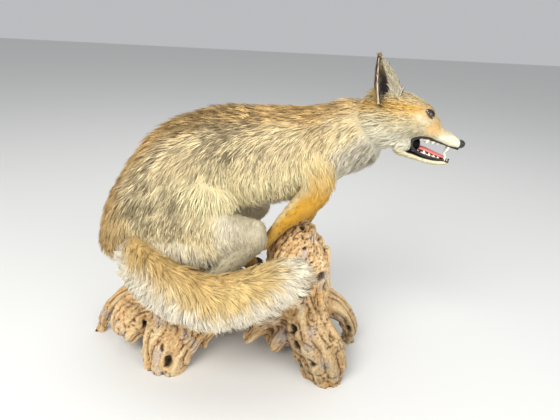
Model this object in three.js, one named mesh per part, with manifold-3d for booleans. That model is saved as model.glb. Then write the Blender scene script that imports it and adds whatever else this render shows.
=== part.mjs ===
// A mounted red fox, life size, crouching on a gnarled root: hindquarters folded on the root's low left
// part, forepaws on its raised right end, neck stretched forward, mouth open, tail brought round its
// right side. Every body part is a closed loft of oval sections that reach the tips of the coat.
// Millimetres. x runs forward, y to the animal's left, z up.
import * as THREE from "three";
import Module from "manifold-3d";

const wasm = await Module();
wasm.setup();

// ---------- driving dimensions ----------
const gap = 0.4; // left between neighbouring solids
const floorCut = 0; // the root's feet are sawn flat at this level

const headPlace = { at: [215, -33, 455], yaw: -13, pitch: 11, roll: -10 }; // point between the eyes, degrees
const eyeball = { radius: 9, forward: 0, out: 25.5, up: 0 };
const noseRadii = [7.5, 9, 7.5];
const noseAt = [62, 0, -28];
const cheek = { at: [-20, 22, -49], radii: [13, 9, 12] }; // closes the mouth's corner
const ear = { base: [-73, 34, 3], height: 60, halfWidth: 31, cup: 0.75, thick: 7, tipThick: 3, back: 16, splay: 13, turn: 40 };
const toe = { length: 13, radius: 7.5, claw: 9, clawRadius: 2.2 };

// Sections: [x, y, z, half width across, half height towards the back, half height towards the belly].
// The spine runs from the rump to the nape; the planes that part trunk, neck and head are counted in sections.
const spineSections = [
  [-272, 0, 194, 56, 52, 40],
  [-252, 0, 248, 77, 58, 64],
  [-214, 0, 304, 87, 66, 84],
  [-158, 0, 350, 87, 81, 92],
  [-92, 0, 361, 80, 96, 92],
  [-22, 0, 372, 77, 89, 84],
  [42, -1, 385, 78, 79, 80],
  [86, -3, 400, 68, 71, 68],
  [118, -8, 414, 58, 67, 64],
  [144, -13, 425, 53, 61, 58],
  [168, -20, 430, 40, 44, 42],
];
const spineCuts = [7.1, 8.7];
// The head in its own frame: x to the nose, y to its left, z up, from the point between the eyes.
const headSections = [
  [-84, 0, -18, 40, 38, 40],
  [-62, 0, -20, 49, 44, 48],
  [-38, 0, -22, 50, 48, 50],
  [-17, 0, -21, 43, 44, 33],
  [-2, 0, -16, 35, 34, 27],
  [12, 0, -18, 27, 22, 21],
  [28, 0, -24, 19.5, 13.5, 14],
  [44, 0, -27.5, 16, 11.5, 11],
  [58, 0, -30, 12.5, 8.5, 8.5],
];
const jawSections = [
  [-24, 0, -62, 31, 10, 12],
  [-4, 0, -64, 25, 8, 9],
  [16, 0, -66, 18, 5.5, 6],
  [36, 0, -65, 13.5, 5, 5.5],
  [50, 0, -61, 9.5, 6, 5],
];
const tongueSections = [
  [-12, 0, -56, 12, 3, 4],
  [10, 0, -58.5, 11, 3.2, 2],
  [30, 0, -59, 9.5, 3, 2],
  [44, 0, -57, 7, 2.4, 2],
];
// Legs of the right side; the left hind leg is their mirror image.
const thighSections = [
  [-244, -40, 256, 36, 44, 52],
  [-190, -54, 266, 47, 70, 74],
  [-138, -60, 260, 44, 60, 68],
  [-84, -66, 254, 35, 42, 50],
  [-34, -71, 256, 26, 28, 28],
];
const shankSections = [
  [-36, -72, 250, 24, 25, 25],
  [-64, -75, 218, 21, 24, 24],
  [-104, -77, 182, 17, 19, 20],
  [-134, -77, 154, 15, 16, 18],
];
const hindPawSections = [
  [-144, -74, 148, 15, 15, 15],
  [-112, -66, 140, 16, 14, 13],
  [-80, -58, 137, 18, 13, 12],
  [-54, -52, 138, 20, 12, 11],
];
const rightArm = {
  upper: [[20, -34, 400, 30, 40, 40], [50, -50, 366, 32, 38, 38], [60, -59, 334, 29, 31, 31]],
  forearm: [[58, -59, 334, 27, 29, 29], [42, -57, 310, 23, 27, 26], [18, -53, 284, 18, 20, 19], [3, -50, 266, 15, 16, 16]],
  paw: [[4, -50, 266, 14, 15, 15], [-11, -49, 246, 16, 13, 12], [-25, -49, 228, 18, 12, 11]],
};
const leftArm = {
  upper: [[22, 34, 400, 30, 38, 38], [50, 46, 366, 30, 34, 34], [62, 48, 334, 25, 27, 27]],
  forearm: [[62, 48, 334, 24, 26, 26], [64, 44, 312, 20, 22, 21], [62, 36, 286, 16, 17, 17], [57, 28, 264, 14, 15, 15]],
  paw: [[57, 28, 264, 13, 14, 14], [50, 23, 250, 15, 13, 12], [42, 20, 238, 17, 12, 11]],
};
const tailSections = [
  [-256, -16, 204, 32, 34, 34],
  [-236, -62, 206, 40, 42, 42],
  [-206, -104, 196, 45, 50, 52],
  [-156, -134, 182, 48, 55, 57],
  [-96, -146, 174, 48, 54, 56],
  [-40, -144, 190, 48, 52, 53],
  [8, -136, 213, 45, 47, 47],
  [38, -128, 222, 37, 40, 40],
];
const tailCuts = [2.4, 4.8]; // where the tail is divided, counted in sections

// ---------- the root: each limb tapers along a few sections ----------
const rootLimbs = [
  // the lying trunk of the root
  [[-258, -4, 78, 44, 32, 34], [-200, 0, 84, 68, 44, 40], [-120, 0, 90, 74, 40, 36], [-40, 0, 94, 74, 42, 40], [40, 0, 90, 64, 44, 44]],
  // the raised right end under the forepaws
  [[34, -8, 40, 60, 64, 62], [32, -10, 110, 58, 62, 66], [38, -12, 165, 56, 56, 57], [33, -12, 205, 54, 49, 54], [42, -12, 234, 44, 36, 38], [48, -10, 246, 28, 18, 20]],
  // front right foot, a broad buttress
  [[48, -26, 104, 46, 46, 46], [66, -60, 72, 42, 38, 48], [88, -90, 38, 34, 38, 50], [98, -102, -14, 28, 26, 28]],
  // right foot, hooked down at its end
  [[70, 0, 96, 34, 34, 34], [108, 2, 84, 26, 22, 26], [138, 3, 52, 20, 17, 18], [147, 4, 22, 15, 13, 14], [144, 6, 0, 12, 11, 12]],
  // front left foot
  [[-150, -20, 86, 46, 56, 50], [-168, -56, 58, 40, 50, 56], [-184, -82, 30, 33, 46, 44], [-190, -92, -14, 28, 34, 30]],
  // round knob at the left
  [[-228, -18, 78, 38, 40, 40], [-256, -36, 58, 38, 37, 36], [-268, -46, 36, 30, 26, 26]],
  // thin root at the far left
  [[-262, 8, 92, 20, 22, 22], [-296, 4, 72, 12, 13, 13], [-318, 2, 42, 11, 12, 12], [-332, 1, 10, 9, 9, 9], [-336, 0, -10, 8, 8, 8]],
  // wedge in the middle of the front
  [[-110, -30, 76, 20, 26, 26], [-116, -46, 48, 13, 16, 16], [-127, -55, 20, 7, 8, 8]],
  // small broken ends beside the arch
  [[0, -22, 86, 34, 30, 30], [-26, -42, 58, 20, 18, 18], [-44, -53, 42, 12, 11, 11]],
  [[34, -36, 72, 30, 28, 28], [14, -56, 48, 22, 20, 20], [4, -62, 34, 14, 12, 12]],
  // back left and back right feet
  [[-170, 24, 86, 44, 40, 40], [-190, 74, 50, 38, 34, 34], [-202, 106, 16, 30, 28, 30], [-204, 112, -16, 26, 26, 26]],
  [[44, 24, 96, 42, 40, 40], [72, 70, 54, 34, 32, 32], [92, 104, 16, 27, 26, 28], [96, 110, -16, 24, 24, 24]],
];
const gnarl = { height: 3.6, lengths: [23, 37, 61] }; // bumps all over the root

// ---------- tools ----------
const vec = (p) => new THREE.Vector3(p[0], p[1], p[2]);
const leftward = new THREE.Vector3(0, 1, 0);
const upward = new THREE.Vector3(0, 0, 1);

// Catmull-Rom value at u, counted in sections, of every number of a section list.
function sectionAt(sections, u) {
  const last = sections.length - 1;
  const i = Math.min(Math.max(Math.floor(u), 0), last - 1);
  const t = u - i;
  const at = (k) => sections[Math.min(Math.max(k, 0), last)];
  return sections[i].map((_, n) => {
    const [a, b, c, d] = [at(i - 1)[n], at(i)[n], at(i + 1)[n], at(i + 2)[n]];
    return b + 0.5 * t * (c - a + t * (2 * a - 5 * b + 4 * c - d + t * (3 * (b - c) + d - a)));
  });
}

// The frame of a section: along the line, across it, and towards the back.
function frameAt(sections, u, up) {
  const step = 0.02;
  const last = sections.length - 1;
  const ahead = vec(sectionAt(sections, Math.min(u + step, last)));
  const along = ahead.sub(vec(sectionAt(sections, Math.max(u - step, 0)))).normalize();
  const across = up ? up.clone().cross(along) : leftward.clone().addScaledVector(along, -along.y);
  across.normalize();
  return { along, across, back: along.clone().cross(across) };
}

// A closed solid from rings of points, each ring closed by itself and the ends closed on poles.
function solidOfRings(rings, startPole, endPole, matrix) {
  const sides = rings[0].length;
  const points = [startPole, ...rings.flat(), endPole];
  const faces = [];
  const last = points.length - 1;
  const id = (ring, k) => 1 + ring * sides + (k % sides);
  for (let k = 0; k < sides; k++) {
    faces.push(0, id(0, k + 1), id(0, k));
    for (let r = 0; r + 1 < rings.length; r++) {
      faces.push(id(r, k), id(r, k + 1), id(r + 1, k + 1), id(r, k), id(r + 1, k + 1), id(r + 1, k));
    }
    faces.push(last, id(rings.length - 1, k), id(rings.length - 1, k + 1));
  }
  if (matrix) points.forEach((p) => p.applyMatrix4(matrix));
  const vertProperties = new Float32Array(points.flatMap((p) => [p.x, p.y, p.z]));
  return new wasm.Manifold(new wasm.Mesh({ numProp: 3, vertProperties, triVerts: new Uint32Array(faces) }));
}

// Loft through the sections. `round` holds how far its two ends bulge out, `dome` where a bulge has its
// rings, as shares of that, and `grow` widens it all.
function loft(sections, options = {}) {
  const { sides = 12, steps = 1, round, dome = [0.92, 0.62], grow = 0, matrix, up, bumps } = options;
  const last = sections.length - 1;
  const rings = [];
  const addRing = (u, shrink, push) => {
    const s = sectionAt(sections, u);
    const { along, across, back } = frameAt(sections, u, up);
    const centre = vec(s).addScaledVector(along, push);
    const ring = [];
    for (let k = 0; k < sides; k++) {
      const angle = (2 * Math.PI * k) / sides;
      const c = Math.cos(angle);
      const n = Math.sin(angle);
      const height = (n > 0 ? s[4] : s[5]) + grow;
      const p = centre.clone().addScaledVector(across, (s[3] + grow) * c * shrink);
      ring.push(p.addScaledVector(back, height * n * shrink));
    }
    rings.push(bumps ? ring.map((p) => bumps(p, centre)) : ring);
  };
  for (const d of dome) addRing(0, Math.sqrt(1 - d * d), -(round[0] + grow) * d);
  for (let i = 0; i <= last * steps; i++) addRing(i / steps, 1, 0);
  for (const d of [...dome].reverse()) addRing(last, Math.sqrt(1 - d * d), (round[1] + grow) * d);
  const pole = (u, push) => vec(sectionAt(sections, u)).addScaledVector(frameAt(sections, u, up).along, push);
  return solidOfRings(rings, pole(0, -round[0] - grow), pole(last, round[1] + grow), matrix);
}

function ellipsoid(centre, radii, options = {}) {
  const { sides = 12, bands = 7, grow = 0, matrix } = options;
  const c = vec(centre);
  const rings = [];
  for (let b = 1; b < bands; b++) {
    const polar = (Math.PI * b) / bands;
    const ring = [];
    for (let k = 0; k < sides; k++) {
      const angle = (2 * Math.PI * k) / sides;
      const r = Math.sin(polar);
      const p = [-Math.cos(polar), r * Math.cos(angle), r * Math.sin(angle)];
      ring.push(new THREE.Vector3(...p.map((v, n) => v * (radii[n] + grow))).add(c));
    }
    rings.push(ring);
  }
  const end = (sign) => c.clone().add(new THREE.Vector3(sign * (radii[0] + grow), 0, 0));
  return solidOfRings(rings, end(-1), end(1), matrix);
}

// A thin cone from root to tip, such as a claw or a tooth.
function spike(root, tip, radius, sides = 5, matrix) {
  const a = vec(root);
  const along = vec(tip).sub(a).normalize();
  const across = leftward.clone().addScaledVector(along, -along.y).normalize();
  const back = along.clone().cross(across);
  const ring = [];
  for (let k = 0; k < sides; k++) {
    const angle = (2 * Math.PI * k) / sides;
    const p = a.clone().addScaledVector(across, radius * Math.cos(angle));
    ring.push(p.addScaledVector(back, radius * Math.sin(angle)));
  }
  return solidOfRings([ring], a.clone().addScaledVector(along, -radius * 0.3), vec(tip), matrix);
}

const mirrored = (sections) => sections.map(([x, y, z, ...size]) => [x, -y, z, ...size]);
const joined = (solids) => wasm.Manifold.union(solids);
const without = (solid, ...cutters) => cutters.reduce((left, c) => left.subtract(c), solid);

// The largest body, so that a cut leaves no loose crumbs.
function whole(solid) {
  return solid.decompose().sort((a, b) => b.volume() - a.volume())[0];
}

// ---------- the head ----------
function headMatrix() {
  const { at, yaw, pitch, roll } = headPlace;
  const rad = THREE.MathUtils.degToRad;
  const turn = new THREE.Euler(rad(roll), rad(pitch), rad(yaw), "ZYX");
  return new THREE.Matrix4().makeRotationFromEuler(turn).setPosition(...at);
}
const inHead = headMatrix();

function eyeSolid(sign, grow = 0) {
  const { radius, forward, out, up } = eyeball;
  return ellipsoid([forward, sign * out, up], [radius, radius, radius], { sides: 10, bands: 6, grow, matrix: inHead });
}

// A cupped leaf: v runs from base to tip, u across it; the cup opens forward and outward.
function earSolid(sign) {
  const across = 4;
  const rows = 6;
  const bendMost = 1.25;
  const point = (u, v, inner) => {
    const half = ear.halfWidth * (1 - Math.pow(v, 1.9)) * (1 + 0.25 * v) + 2;
    const thick = ear.thick + (ear.tipThick - ear.thick) * v;
    const radius = half - (inner ? thick * 0.75 : 0);
    const rim = inner ? thick * 0.07 : 0;
    const x = ear.cup * (half - radius * Math.cos(u * bendMost)) - rim;
    return new THREE.Vector3(x, 0.95 * radius * Math.sin(u * bendMost), ear.height * v);
  };
  const rings = [];
  for (let r = 0; r <= rows; r++) {
    const v = (r / rows) * 0.97;
    const ring = [];
    for (let k = 0; k <= across; k++) ring.push(point(-1 + (2 * k) / across, v, true));
    for (let k = across; k >= 0; k--) ring.push(point(-1 + (2 * k) / across, v, false));
    rings.push(ring);
  }
  const [x, y, z] = ear.base;
  const angles = [-sign * ear.splay, -ear.back, sign * ear.turn].map(THREE.MathUtils.degToRad);
  const turn = new THREE.Matrix4().makeRotationFromEuler(new THREE.Euler(...angles, "ZYX"));
  const pole = (v) => new THREE.Vector3(ear.halfWidth * ear.cup * 0.12 * (1 - v), 0, ear.height * v);
  return solidOfRings(rings, pole(0), pole(1), inHead.clone().multiply(turn.setPosition(x, sign * y, z)));
}

// A row of four cheek teeth, a canine and a front tooth on each side of a jaw, standing on its rim.
function teeth(upper) {
  const down = upper ? -1 : 1;
  const rim = upper ? -36 : -62;
  const out = [];
  const stand = (x, y, tall, radius, sides) => {
    out.push(spike([x, y, rim], [x - tall * 0.15, y, rim + down * tall], radius, sides, inHead));
  };
  for (const sign of [-1, 1]) {
    stand(upper ? 50 : 45, sign * (upper ? 9.5 : 8), 13, 2.6, 5);
    stand(upper ? 57 : 51, sign * 3, 5, 2.4, 4);
    for (let i = 0; i < 4; i++) {
      const x = (upper ? 36 : 34) - i * 8;
      stand(x, sign * (upper ? 11 : 9) + sign * i * 2.1, i === 2 ? 6.5 : 4.5, 3.4, 4);
    }
  }
  return out;
}

const spine = (grow = 0) => loft(spineSections, { sides: 20, round: [26, 18], grow });
const skull = (grow = 0) => loft(headSections, { sides: 16, steps: 2, round: [10, 5], grow, matrix: inHead });
const jaw = (grow = 0) => loft(jawSections, { sides: 10, round: [6, 5], grow, matrix: inHead });
const cheeks = (grow = 0) => [-1, 1].map((sign) => {
  const [x, y, z] = cheek.at;
  return ellipsoid([x, sign * y, z], cheek.radii, { sides: 8, bands: 5, grow, matrix: inHead });
});
const nose = (grow = 0) => ellipsoid(noseAt, noseRadii, { sides: 10, bands: 6, grow, matrix: inHead });
const tongue = () => loft(tongueSections, { sides: 8, round: [4, 5], matrix: inHead });

// ---------- paws ----------
// Four toes fan out at the end of the last section, each with a claw.
function toes(sections, grow = 0) {
  const last = sections.length - 1;
  const [, , , halfWidth, , under] = sections[last];
  const { along, across, back } = frameAt(sections, last);
  const radii = [toe.radius * 1.5, toe.radius * 0.8, toe.radius];
  const out = [];
  for (const place of [-1.5, -0.5, 0.5, 1.5]) {
    const reach = toe.length * (Math.abs(place) > 1 ? 0.35 : 0.8);
    const c = vec(sections[last]).addScaledVector(across, place * halfWidth * 0.52);
    c.addScaledVector(along, reach).addScaledVector(back, -under * 0.3);
    const turn = new THREE.Matrix4().makeBasis(along, across, back).setPosition(c);
    out.push(ellipsoid([0, 0, 0], radii, { sides: 6, bands: 3, grow, matrix: turn }));
    if (!grow) {
      out.push(spike([toe.radius, 0, 0], [toe.radius + toe.claw, 0, -2.5], toe.clawRadius, 3, turn));
    }
  }
  return out;
}

function paw(sections, grow = 0) {
  return joined([loft(sections, { sides: 10, round: [5, 8], dome: [0.75], grow }), ...toes(sections, grow)]);
}

// ---------- the root ----------
// Moves a surface point of a limb out or in along its radius by a sum of standing waves.
function gnarled(p, centre) {
  let wave = 0;
  gnarl.lengths.forEach((length, i) => {
    const [x, y, z] = p.toArray().map((v) => (v / length) * 2 * Math.PI);
    const phase = 1.7 * i;
    wave += Math.sin(x + phase) * Math.sin(y - phase) * Math.cos(z + 2 * phase);
  });
  const out = p.clone().sub(centre).normalize();
  return p.addScaledVector(out, gnarl.height * wave);
}

function rootSolid(grow = 0) {
  const limbs = rootLimbs.map((limb, i) => {
    const sides = i < 2 ? 12 : 8;
    return loft(limb, { sides, round: [14, 10], grow, bumps: gnarled });
  });
  return whole(joined(limbs).trimByPlane([0, 0, 1], floorCut));
}

// ---------- assembly ----------
const finishes = {
  coat: { color: 0xc9a878, roughness: 0.85 },
  paleCoat: { color: 0xd8cdb4, roughness: 0.85 },
  ochreCoat: { color: 0xc48d3c, roughness: 0.85 },
  darkEar: { color: 0x4a3423, roughness: 0.8 },
  nosePad: { color: 0x1b1918, roughness: 0.35 },
  glassEye: { color: 0x2a1c12, roughness: 0.05 },
  tongue: { color: 0xc2575a, roughness: 0.4 },
  rootWood: { color: 0xc79e68, roughness: 0.8 },
};

const model = new THREE.Group();

function add(name, solid, finish) {
  const mesh = solid.getMesh();
  const positions = [];
  for (let i = 0; i < mesh.numVert; i++) {
    positions.push(...mesh.vertProperties.subarray(i * mesh.numProp, i * mesh.numProp + 3));
  }
  const geometry = new THREE.BufferGeometry();
  geometry.setAttribute("position", new THREE.Float32BufferAttribute(positions, 3));
  geometry.setIndex([...mesh.triVerts]);
  geometry.computeVertexNormals();
  const made = new THREE.Mesh(geometry, new THREE.MeshStandardMaterial({ metalness: 0, ...finishes[finish] }));
  made.name = name;
  model.add(made);
}

// Parts a solid by a plane across a line of sections at u: what is before it, and what is beyond it.
function parted(solid, sections, u, up) {
  const { along } = frameAt(sections, u, up);
  const level = along.dot(vec(sectionAt(sections, u)));
  const before = solid.trimByPlane(along.clone().negate().toArray(), gap / 2 - level);
  return [whole(before), whole(solid.trimByPlane(along.toArray(), level + gap / 2))];
}

const root = rootSolid();
const rootGrown = rootSolid(gap);
const bodyGrown = joined([spine(gap), skull(gap), ...cheeks(gap)]);
add("base_root", root, "rootWood");

// Spine and skull are one body, parted into trunk, neck and head.
const [trunk, beyond] = parted(joined([spine(), skull(), ...cheeks()]), spineSections, spineCuts[0]);
const [neck, skullEnd] = parted(beyond, spineSections, spineCuts[1]);
add("trunk", trunk, "coat");
add("neck", neck, "coat");

const eyesGrown = [eyeSolid(-1, gap), eyeSolid(1, gap)];
const head = whole(without(joined([skullEnd, ...teeth(true)]), nose(gap), ...eyesGrown));
const lowerJaw = whole(without(joined([jaw(), ...teeth(false)]), bodyGrown));
add("head", head, "coat");
add("lower_jaw", lowerJaw, "paleCoat");
add("nose", nose(), "nosePad");
add("tongue", whole(without(tongue(), bodyGrown, jaw(gap), ...teeth(false))), "tongue");
for (const [name, sign] of [["right", -1], ["left", 1]]) {
  add("eye_" + name, eyeSolid(sign), "glassEye");
  add("ear_" + name, whole(without(earSolid(sign), bodyGrown)), "darkEar");
}

const legLoft = (sections, grow = 0) => loft(sections, { sides: 10, round: [14, 10], dome: [0.75], grow });

function hindLeg(name, turned) {
  const [thighs, shanks, paws] = [thighSections, shankSections, hindPawSections].map(turned);
  const thigh = (grow = 0) => loft(thighs, { sides: 14, round: [30, 16], grow });
  add("thigh_" + name, whole(without(thigh(), bodyGrown, rootGrown)), "coat");
  add("shank_" + name, whole(without(legLoft(shanks), thigh(gap), bodyGrown, rootGrown)), "paleCoat");
  add("hind_paw_" + name, whole(without(paw(paws), legLoft(shanks, gap), thigh(gap), rootGrown)), "paleCoat");
  return [thigh(gap), legLoft(shanks, gap), paw(paws, gap)];
}

function foreLeg(name, arm, hind) {
  add("upper_foreleg_" + name, whole(without(legLoft(arm.upper), bodyGrown)), "paleCoat");
  const upper = legLoft(arm.upper, gap);
  add("forearm_" + name, whole(without(legLoft(arm.forearm), upper, bodyGrown, rootGrown)), "ochreCoat");
  const forearm = legLoft(arm.forearm, gap);
  add("forepaw_" + name, whole(without(paw(arm.paw), forearm, rootGrown, ...hind)), "ochreCoat");
  return [upper, forearm, paw(arm.paw, gap)];
}

const rightHind = hindLeg("right", (sections) => sections);
const leftHind = hindLeg("left", mirrored);
const rightFore = foreLeg("right", rightArm, rightHind);
foreLeg("left", leftArm, leftHind);

// The tail is one loft, cleared of what it lies against and parted into three lengths.
const tail = loft(tailSections, { sides: 14, steps: 2, round: [10, 22], up: upward });
const clearTail = whole(without(tail, bodyGrown, rootGrown, ...rightHind, ...rightFore));
const [tailBase, tailRest] = parted(clearTail, tailSections, tailCuts[0], upward);
const [tailMiddle, tailTip] = parted(tailRest, tailSections, tailCuts[1], upward);
add("tail_base", tailBase, "coat");
add("tail_middle", tailMiddle, "coat");
add("tail_tip", tailTip, "coat");

// The frame's origin is on the floor under the middle of everything.
const box = new THREE.Box3().setFromObject(model);
const middle = box.getCenter(new THREE.Vector3());
model.position.set(-middle.x, -middle.y, -box.min.z);

export default model;
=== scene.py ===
import bpy
import numpy as np
from mathutils import Matrix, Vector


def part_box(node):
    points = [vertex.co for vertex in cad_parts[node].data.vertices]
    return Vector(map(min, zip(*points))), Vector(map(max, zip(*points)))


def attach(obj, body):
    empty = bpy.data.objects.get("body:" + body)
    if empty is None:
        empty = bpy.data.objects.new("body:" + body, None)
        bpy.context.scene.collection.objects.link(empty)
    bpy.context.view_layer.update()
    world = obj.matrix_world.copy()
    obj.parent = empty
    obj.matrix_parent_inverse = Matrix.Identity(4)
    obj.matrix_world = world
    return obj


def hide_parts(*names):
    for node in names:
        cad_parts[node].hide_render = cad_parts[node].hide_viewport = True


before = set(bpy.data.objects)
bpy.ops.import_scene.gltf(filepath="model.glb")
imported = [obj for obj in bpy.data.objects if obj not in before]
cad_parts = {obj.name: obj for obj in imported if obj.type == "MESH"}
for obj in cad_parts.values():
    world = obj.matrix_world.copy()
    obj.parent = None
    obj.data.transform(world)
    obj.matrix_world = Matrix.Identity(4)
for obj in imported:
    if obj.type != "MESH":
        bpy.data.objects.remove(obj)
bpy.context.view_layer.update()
print("frame loaded")

# measures are millimetres in the animal's own frame: x forward, y to its left, z up
mm = 0.001
leftward = np.array([0.0, 1.0, 0.0])
upward = np.array([0.0, 0.0, 1.0])
headPlace = {"at": (215, -33, 455), "yaw": -13, "pitch": 11, "roll": -10}
eye = {"radius": 9.0, "out": 25.5}
lid = {"half": 8.4, "upper": 4.2, "lower": 3.5}

# section rows: x, y, z, half width across, half height to the back, half height to the belly
spineRows = [
    [-272, 0, 194, 56, 52, 40], [-252, 0, 248, 77, 58, 64], [-214, 0, 304, 87, 66, 84],
    [-158, 0, 350, 87, 81, 92], [-92, 0, 361, 80, 96, 92], [-22, 0, 372, 77, 89, 84],
    [42, -1, 385, 78, 79, 80], [86, -3, 400, 68, 71, 68], [118, -8, 414, 58, 67, 64],
    [144, -13, 425, 53, 61, 58], [168, -20, 430, 40, 44, 42],
]
headRows = [
    [-84, 0, -18, 40, 38, 40], [-62, 0, -20, 49, 44, 48], [-38, 0, -21, 50, 47, 50],
    [-17, 0, -21, 43, 45, 33], [-2, 0, -20, 36, 40, 23], [12, 0, -21, 27.5, 26, 18],
    [28, 0, -25, 19.5, 14.5, 13], [44, 0, -28, 16, 12, 10.5], [58, 0, -30, 12.5, 8.5, 8.5],
]
jawRows = [
    [-24, 0, -62, 31, 10, 12], [-4, 0, -64, 25, 8, 9], [16, 0, -66, 18, 5.5, 6],
    [36, 0, -65, 13.5, 5, 5.5], [50, 0, -61, 9.5, 6, 5],
]
thighRows = [
    [-244, -40, 256, 36, 44, 52], [-190, -54, 266, 47, 70, 74], [-138, -60, 260, 44, 60, 68],
    [-84, -66, 254, 35, 42, 50], [-34, -71, 256, 26, 28, 28],
]
shankRows = [
    [-36, -72, 250, 24, 25, 25], [-64, -75, 218, 21, 24, 24], [-104, -77, 182, 17, 19, 20],
    [-134, -77, 154, 15, 16, 18],
]
hindPawRows = [
    [-144, -74, 148, 15, 15, 15], [-112, -66, 140, 16, 14, 13], [-80, -58, 137, 18, 13, 12],
    [-54, -52, 138, 20, 12, 11],
]
armRows = {
    "Right": {
        "upper": [[20, -34, 400, 30, 40, 40], [50, -50, 366, 32, 38, 38], [60, -59, 334, 29, 31, 31]],
        "forearm": [[58, -59, 334, 27, 29, 29], [42, -57, 310, 23, 27, 26],
                    [18, -53, 284, 18, 20, 19], [3, -50, 266, 15, 16, 16]],
        "paw": [[4, -50, 266, 14, 15, 15], [-11, -49, 246, 16, 13, 12], [-25, -49, 228, 18, 12, 11]],
    },
    "Left": {
        "upper": [[22, 34, 400, 30, 38, 38], [50, 46, 366, 30, 34, 34], [62, 48, 334, 25, 27, 27]],
        "forearm": [[62, 48, 334, 24, 26, 26], [64, 44, 312, 20, 22, 21],
                    [62, 36, 286, 16, 17, 17], [57, 28, 264, 14, 15, 15]],
        "paw": [[57, 28, 264, 13, 14, 14], [50, 23, 250, 15, 13, 12], [42, 20, 238, 17, 12, 11]],
    },
}
tailRows = [
    [-256, -16, 204, 32, 38, 34], [-236, -62, 206, 40, 53, 42], [-206, -104, 196, 45, 62, 52],
    [-156, -134, 182, 48, 67, 57], [-96, -146, 174, 48, 66, 56], [-40, -144, 190, 48, 62, 53],
    [8, -136, 213, 45, 54, 47], [38, -128, 222, 37, 43, 40],
]
toe = {"length": 13, "radius": 7.5}


# small tools, all on whole arrays
def unit(v):
    return v / np.maximum(np.linalg.norm(v, axis=-1, keepdims=True), 1e-9)


def ramp(x, low, high):  # 0 at low, 1 at high, with smooth ends
    t = np.clip((x - low) / (high - low), 0, 1)
    return t * t * (3 - 2 * t)


def hill(x, middle, half):  # 1 at the middle, falling like a bell
    return np.exp(-((x - middle) / half) ** 2)


def mix(a, b, share):
    share = np.asarray(share)[..., None]
    return np.asarray(a) * (1 - share) + np.asarray(b) * share


def tone(r, g, b):  # a colour as the eye names it, made linear for the shader
    c = np.array([r, g, b], float)
    return np.where(c <= 0.04045, c / 12.92, ((c + 0.055) / 1.055) ** 2.4)


# lattice noise from -1 to 1: a random number at each whole corner, blended by smooth steps between them
def noise(points, seed=0):
    p = np.asarray(points, float)
    base = np.floor(p).astype(np.int64)
    f = p - base
    f = f * f * (3 - 2 * f)
    total = np.zeros(len(p))
    for corner in np.ndindex(2, 2, 2):
        h = ((base + corner) * [73856093, 19349663, 83492791]).sum(1) + seed * 26544357
        h = (h ^ (h >> 13)) * 1274126177
        h = (h ^ (h >> 16)) & 0xFFFFFF
        total += np.prod(np.where(corner, f, 1 - f), axis=1) * (h / 8388607.5 - 1)
    return total


# the cubic through rows i and i+1 whose slopes are half the difference of their neighbours
def rowsAt(rows, u):
    rows = np.asarray(rows, float)
    last = len(rows) - 1
    i = np.clip(np.floor(u).astype(int), 0, last - 1)
    t = (u - i)[:, None]
    a, b, c, d = (rows[np.clip(i + k, 0, last)] for k in (-1, 0, 1, 2))
    return b + 0.5 * t * (c - a + t * (2 * a - 5 * b + 4 * c - d + t * (3 * (b - c) + d - a)))


# along the line of the rows, across it, and towards the back
def framesAt(rows, u, up=None):
    last = len(rows) - 1
    ahead = rowsAt(rows, np.minimum(u + 0.02, last))[:, :3]
    along = unit(ahead - rowsAt(rows, np.maximum(u - 0.02, 0))[:, :3])
    if up is None:
        across = unit(leftward - along * along[:, 1:2])
    else:
        across = unit(np.cross(up, along))
    return along, across, np.cross(along, across)


# closed tube: pole, rings of `sides` points, pole; each ring is joined to the next by four-sided faces
def tubeFaces(rings, sides):
    k = np.arange(sides)
    following = (k + 1) % sides
    ring = 1 + np.arange(rings)[:, None] * sides
    a, b = ring + k, ring + following
    quads = np.stack([a[:-1], b[:-1], b[1:], a[1:]], -1).reshape(-1, 4)
    start = np.stack([0 * k, b[0], a[0]], 1)
    end = np.stack([0 * k + 1 + rings * sides, a[-1], b[-1]], 1)
    return [quads, start, end]


# point at (u, angle) = centre(u) + across * width * cos(angle) + back * height * sin(angle), where the
# height differs above and below; beyond each end the section shrinks as a half ellipse
def loft(rows, depth=0.0, domes=(12, 12), sides=28, perRow=6, up=None):
    last = len(rows) - 1
    bend = np.linspace(0, np.pi / 2, 7)[:-1]
    between = np.linspace(0, last, last * perRow + 1)
    u = np.concatenate([0 * bend, between, 0 * bend + last])
    push = np.concatenate([-domes[0] * np.cos(bend), 0 * between, domes[1] * np.sin(bend + bend[1])])
    shrink = np.concatenate([np.sin(bend), 0 * between + 1, np.cos(bend + bend[1])])
    keep = shrink > 0.05
    u, push, shrink = u[keep], push[keep], shrink[keep]
    s = rowsAt(rows, u)
    along, across, back = framesAt(rows, u, up)
    inward = np.interp(u, np.linspace(0, last, np.size(depth)), np.atleast_1d(depth))
    push = push * np.clip(1 - inward / 40, 0.3, 1)
    centre = s[:, :3] + along * push[:, None]
    angle = np.arange(sides) * 2 * np.pi / sides
    c, n = np.cos(angle)[None, :, None], np.sin(angle)[None, :, None]
    width = ((s[:, 3] - inward) * shrink)[:, None, None]
    above = ((s[:, 4] - inward) * shrink)[:, None, None]
    below = ((s[:, 5] - inward) * shrink)[:, None, None]
    ring = centre[:, None] + across[:, None] * width * c + back[:, None] * np.where(n > 0, above, below) * n
    start = s[0, :3] - along[0] * (domes[0] - inward[0] * 0.6)
    end = s[-1, :3] + along[-1] * (domes[1] - inward[-1] * 0.6)
    return np.concatenate([[start], ring.reshape(-1, 3), [end]]), tubeFaces(len(u), sides)


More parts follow.
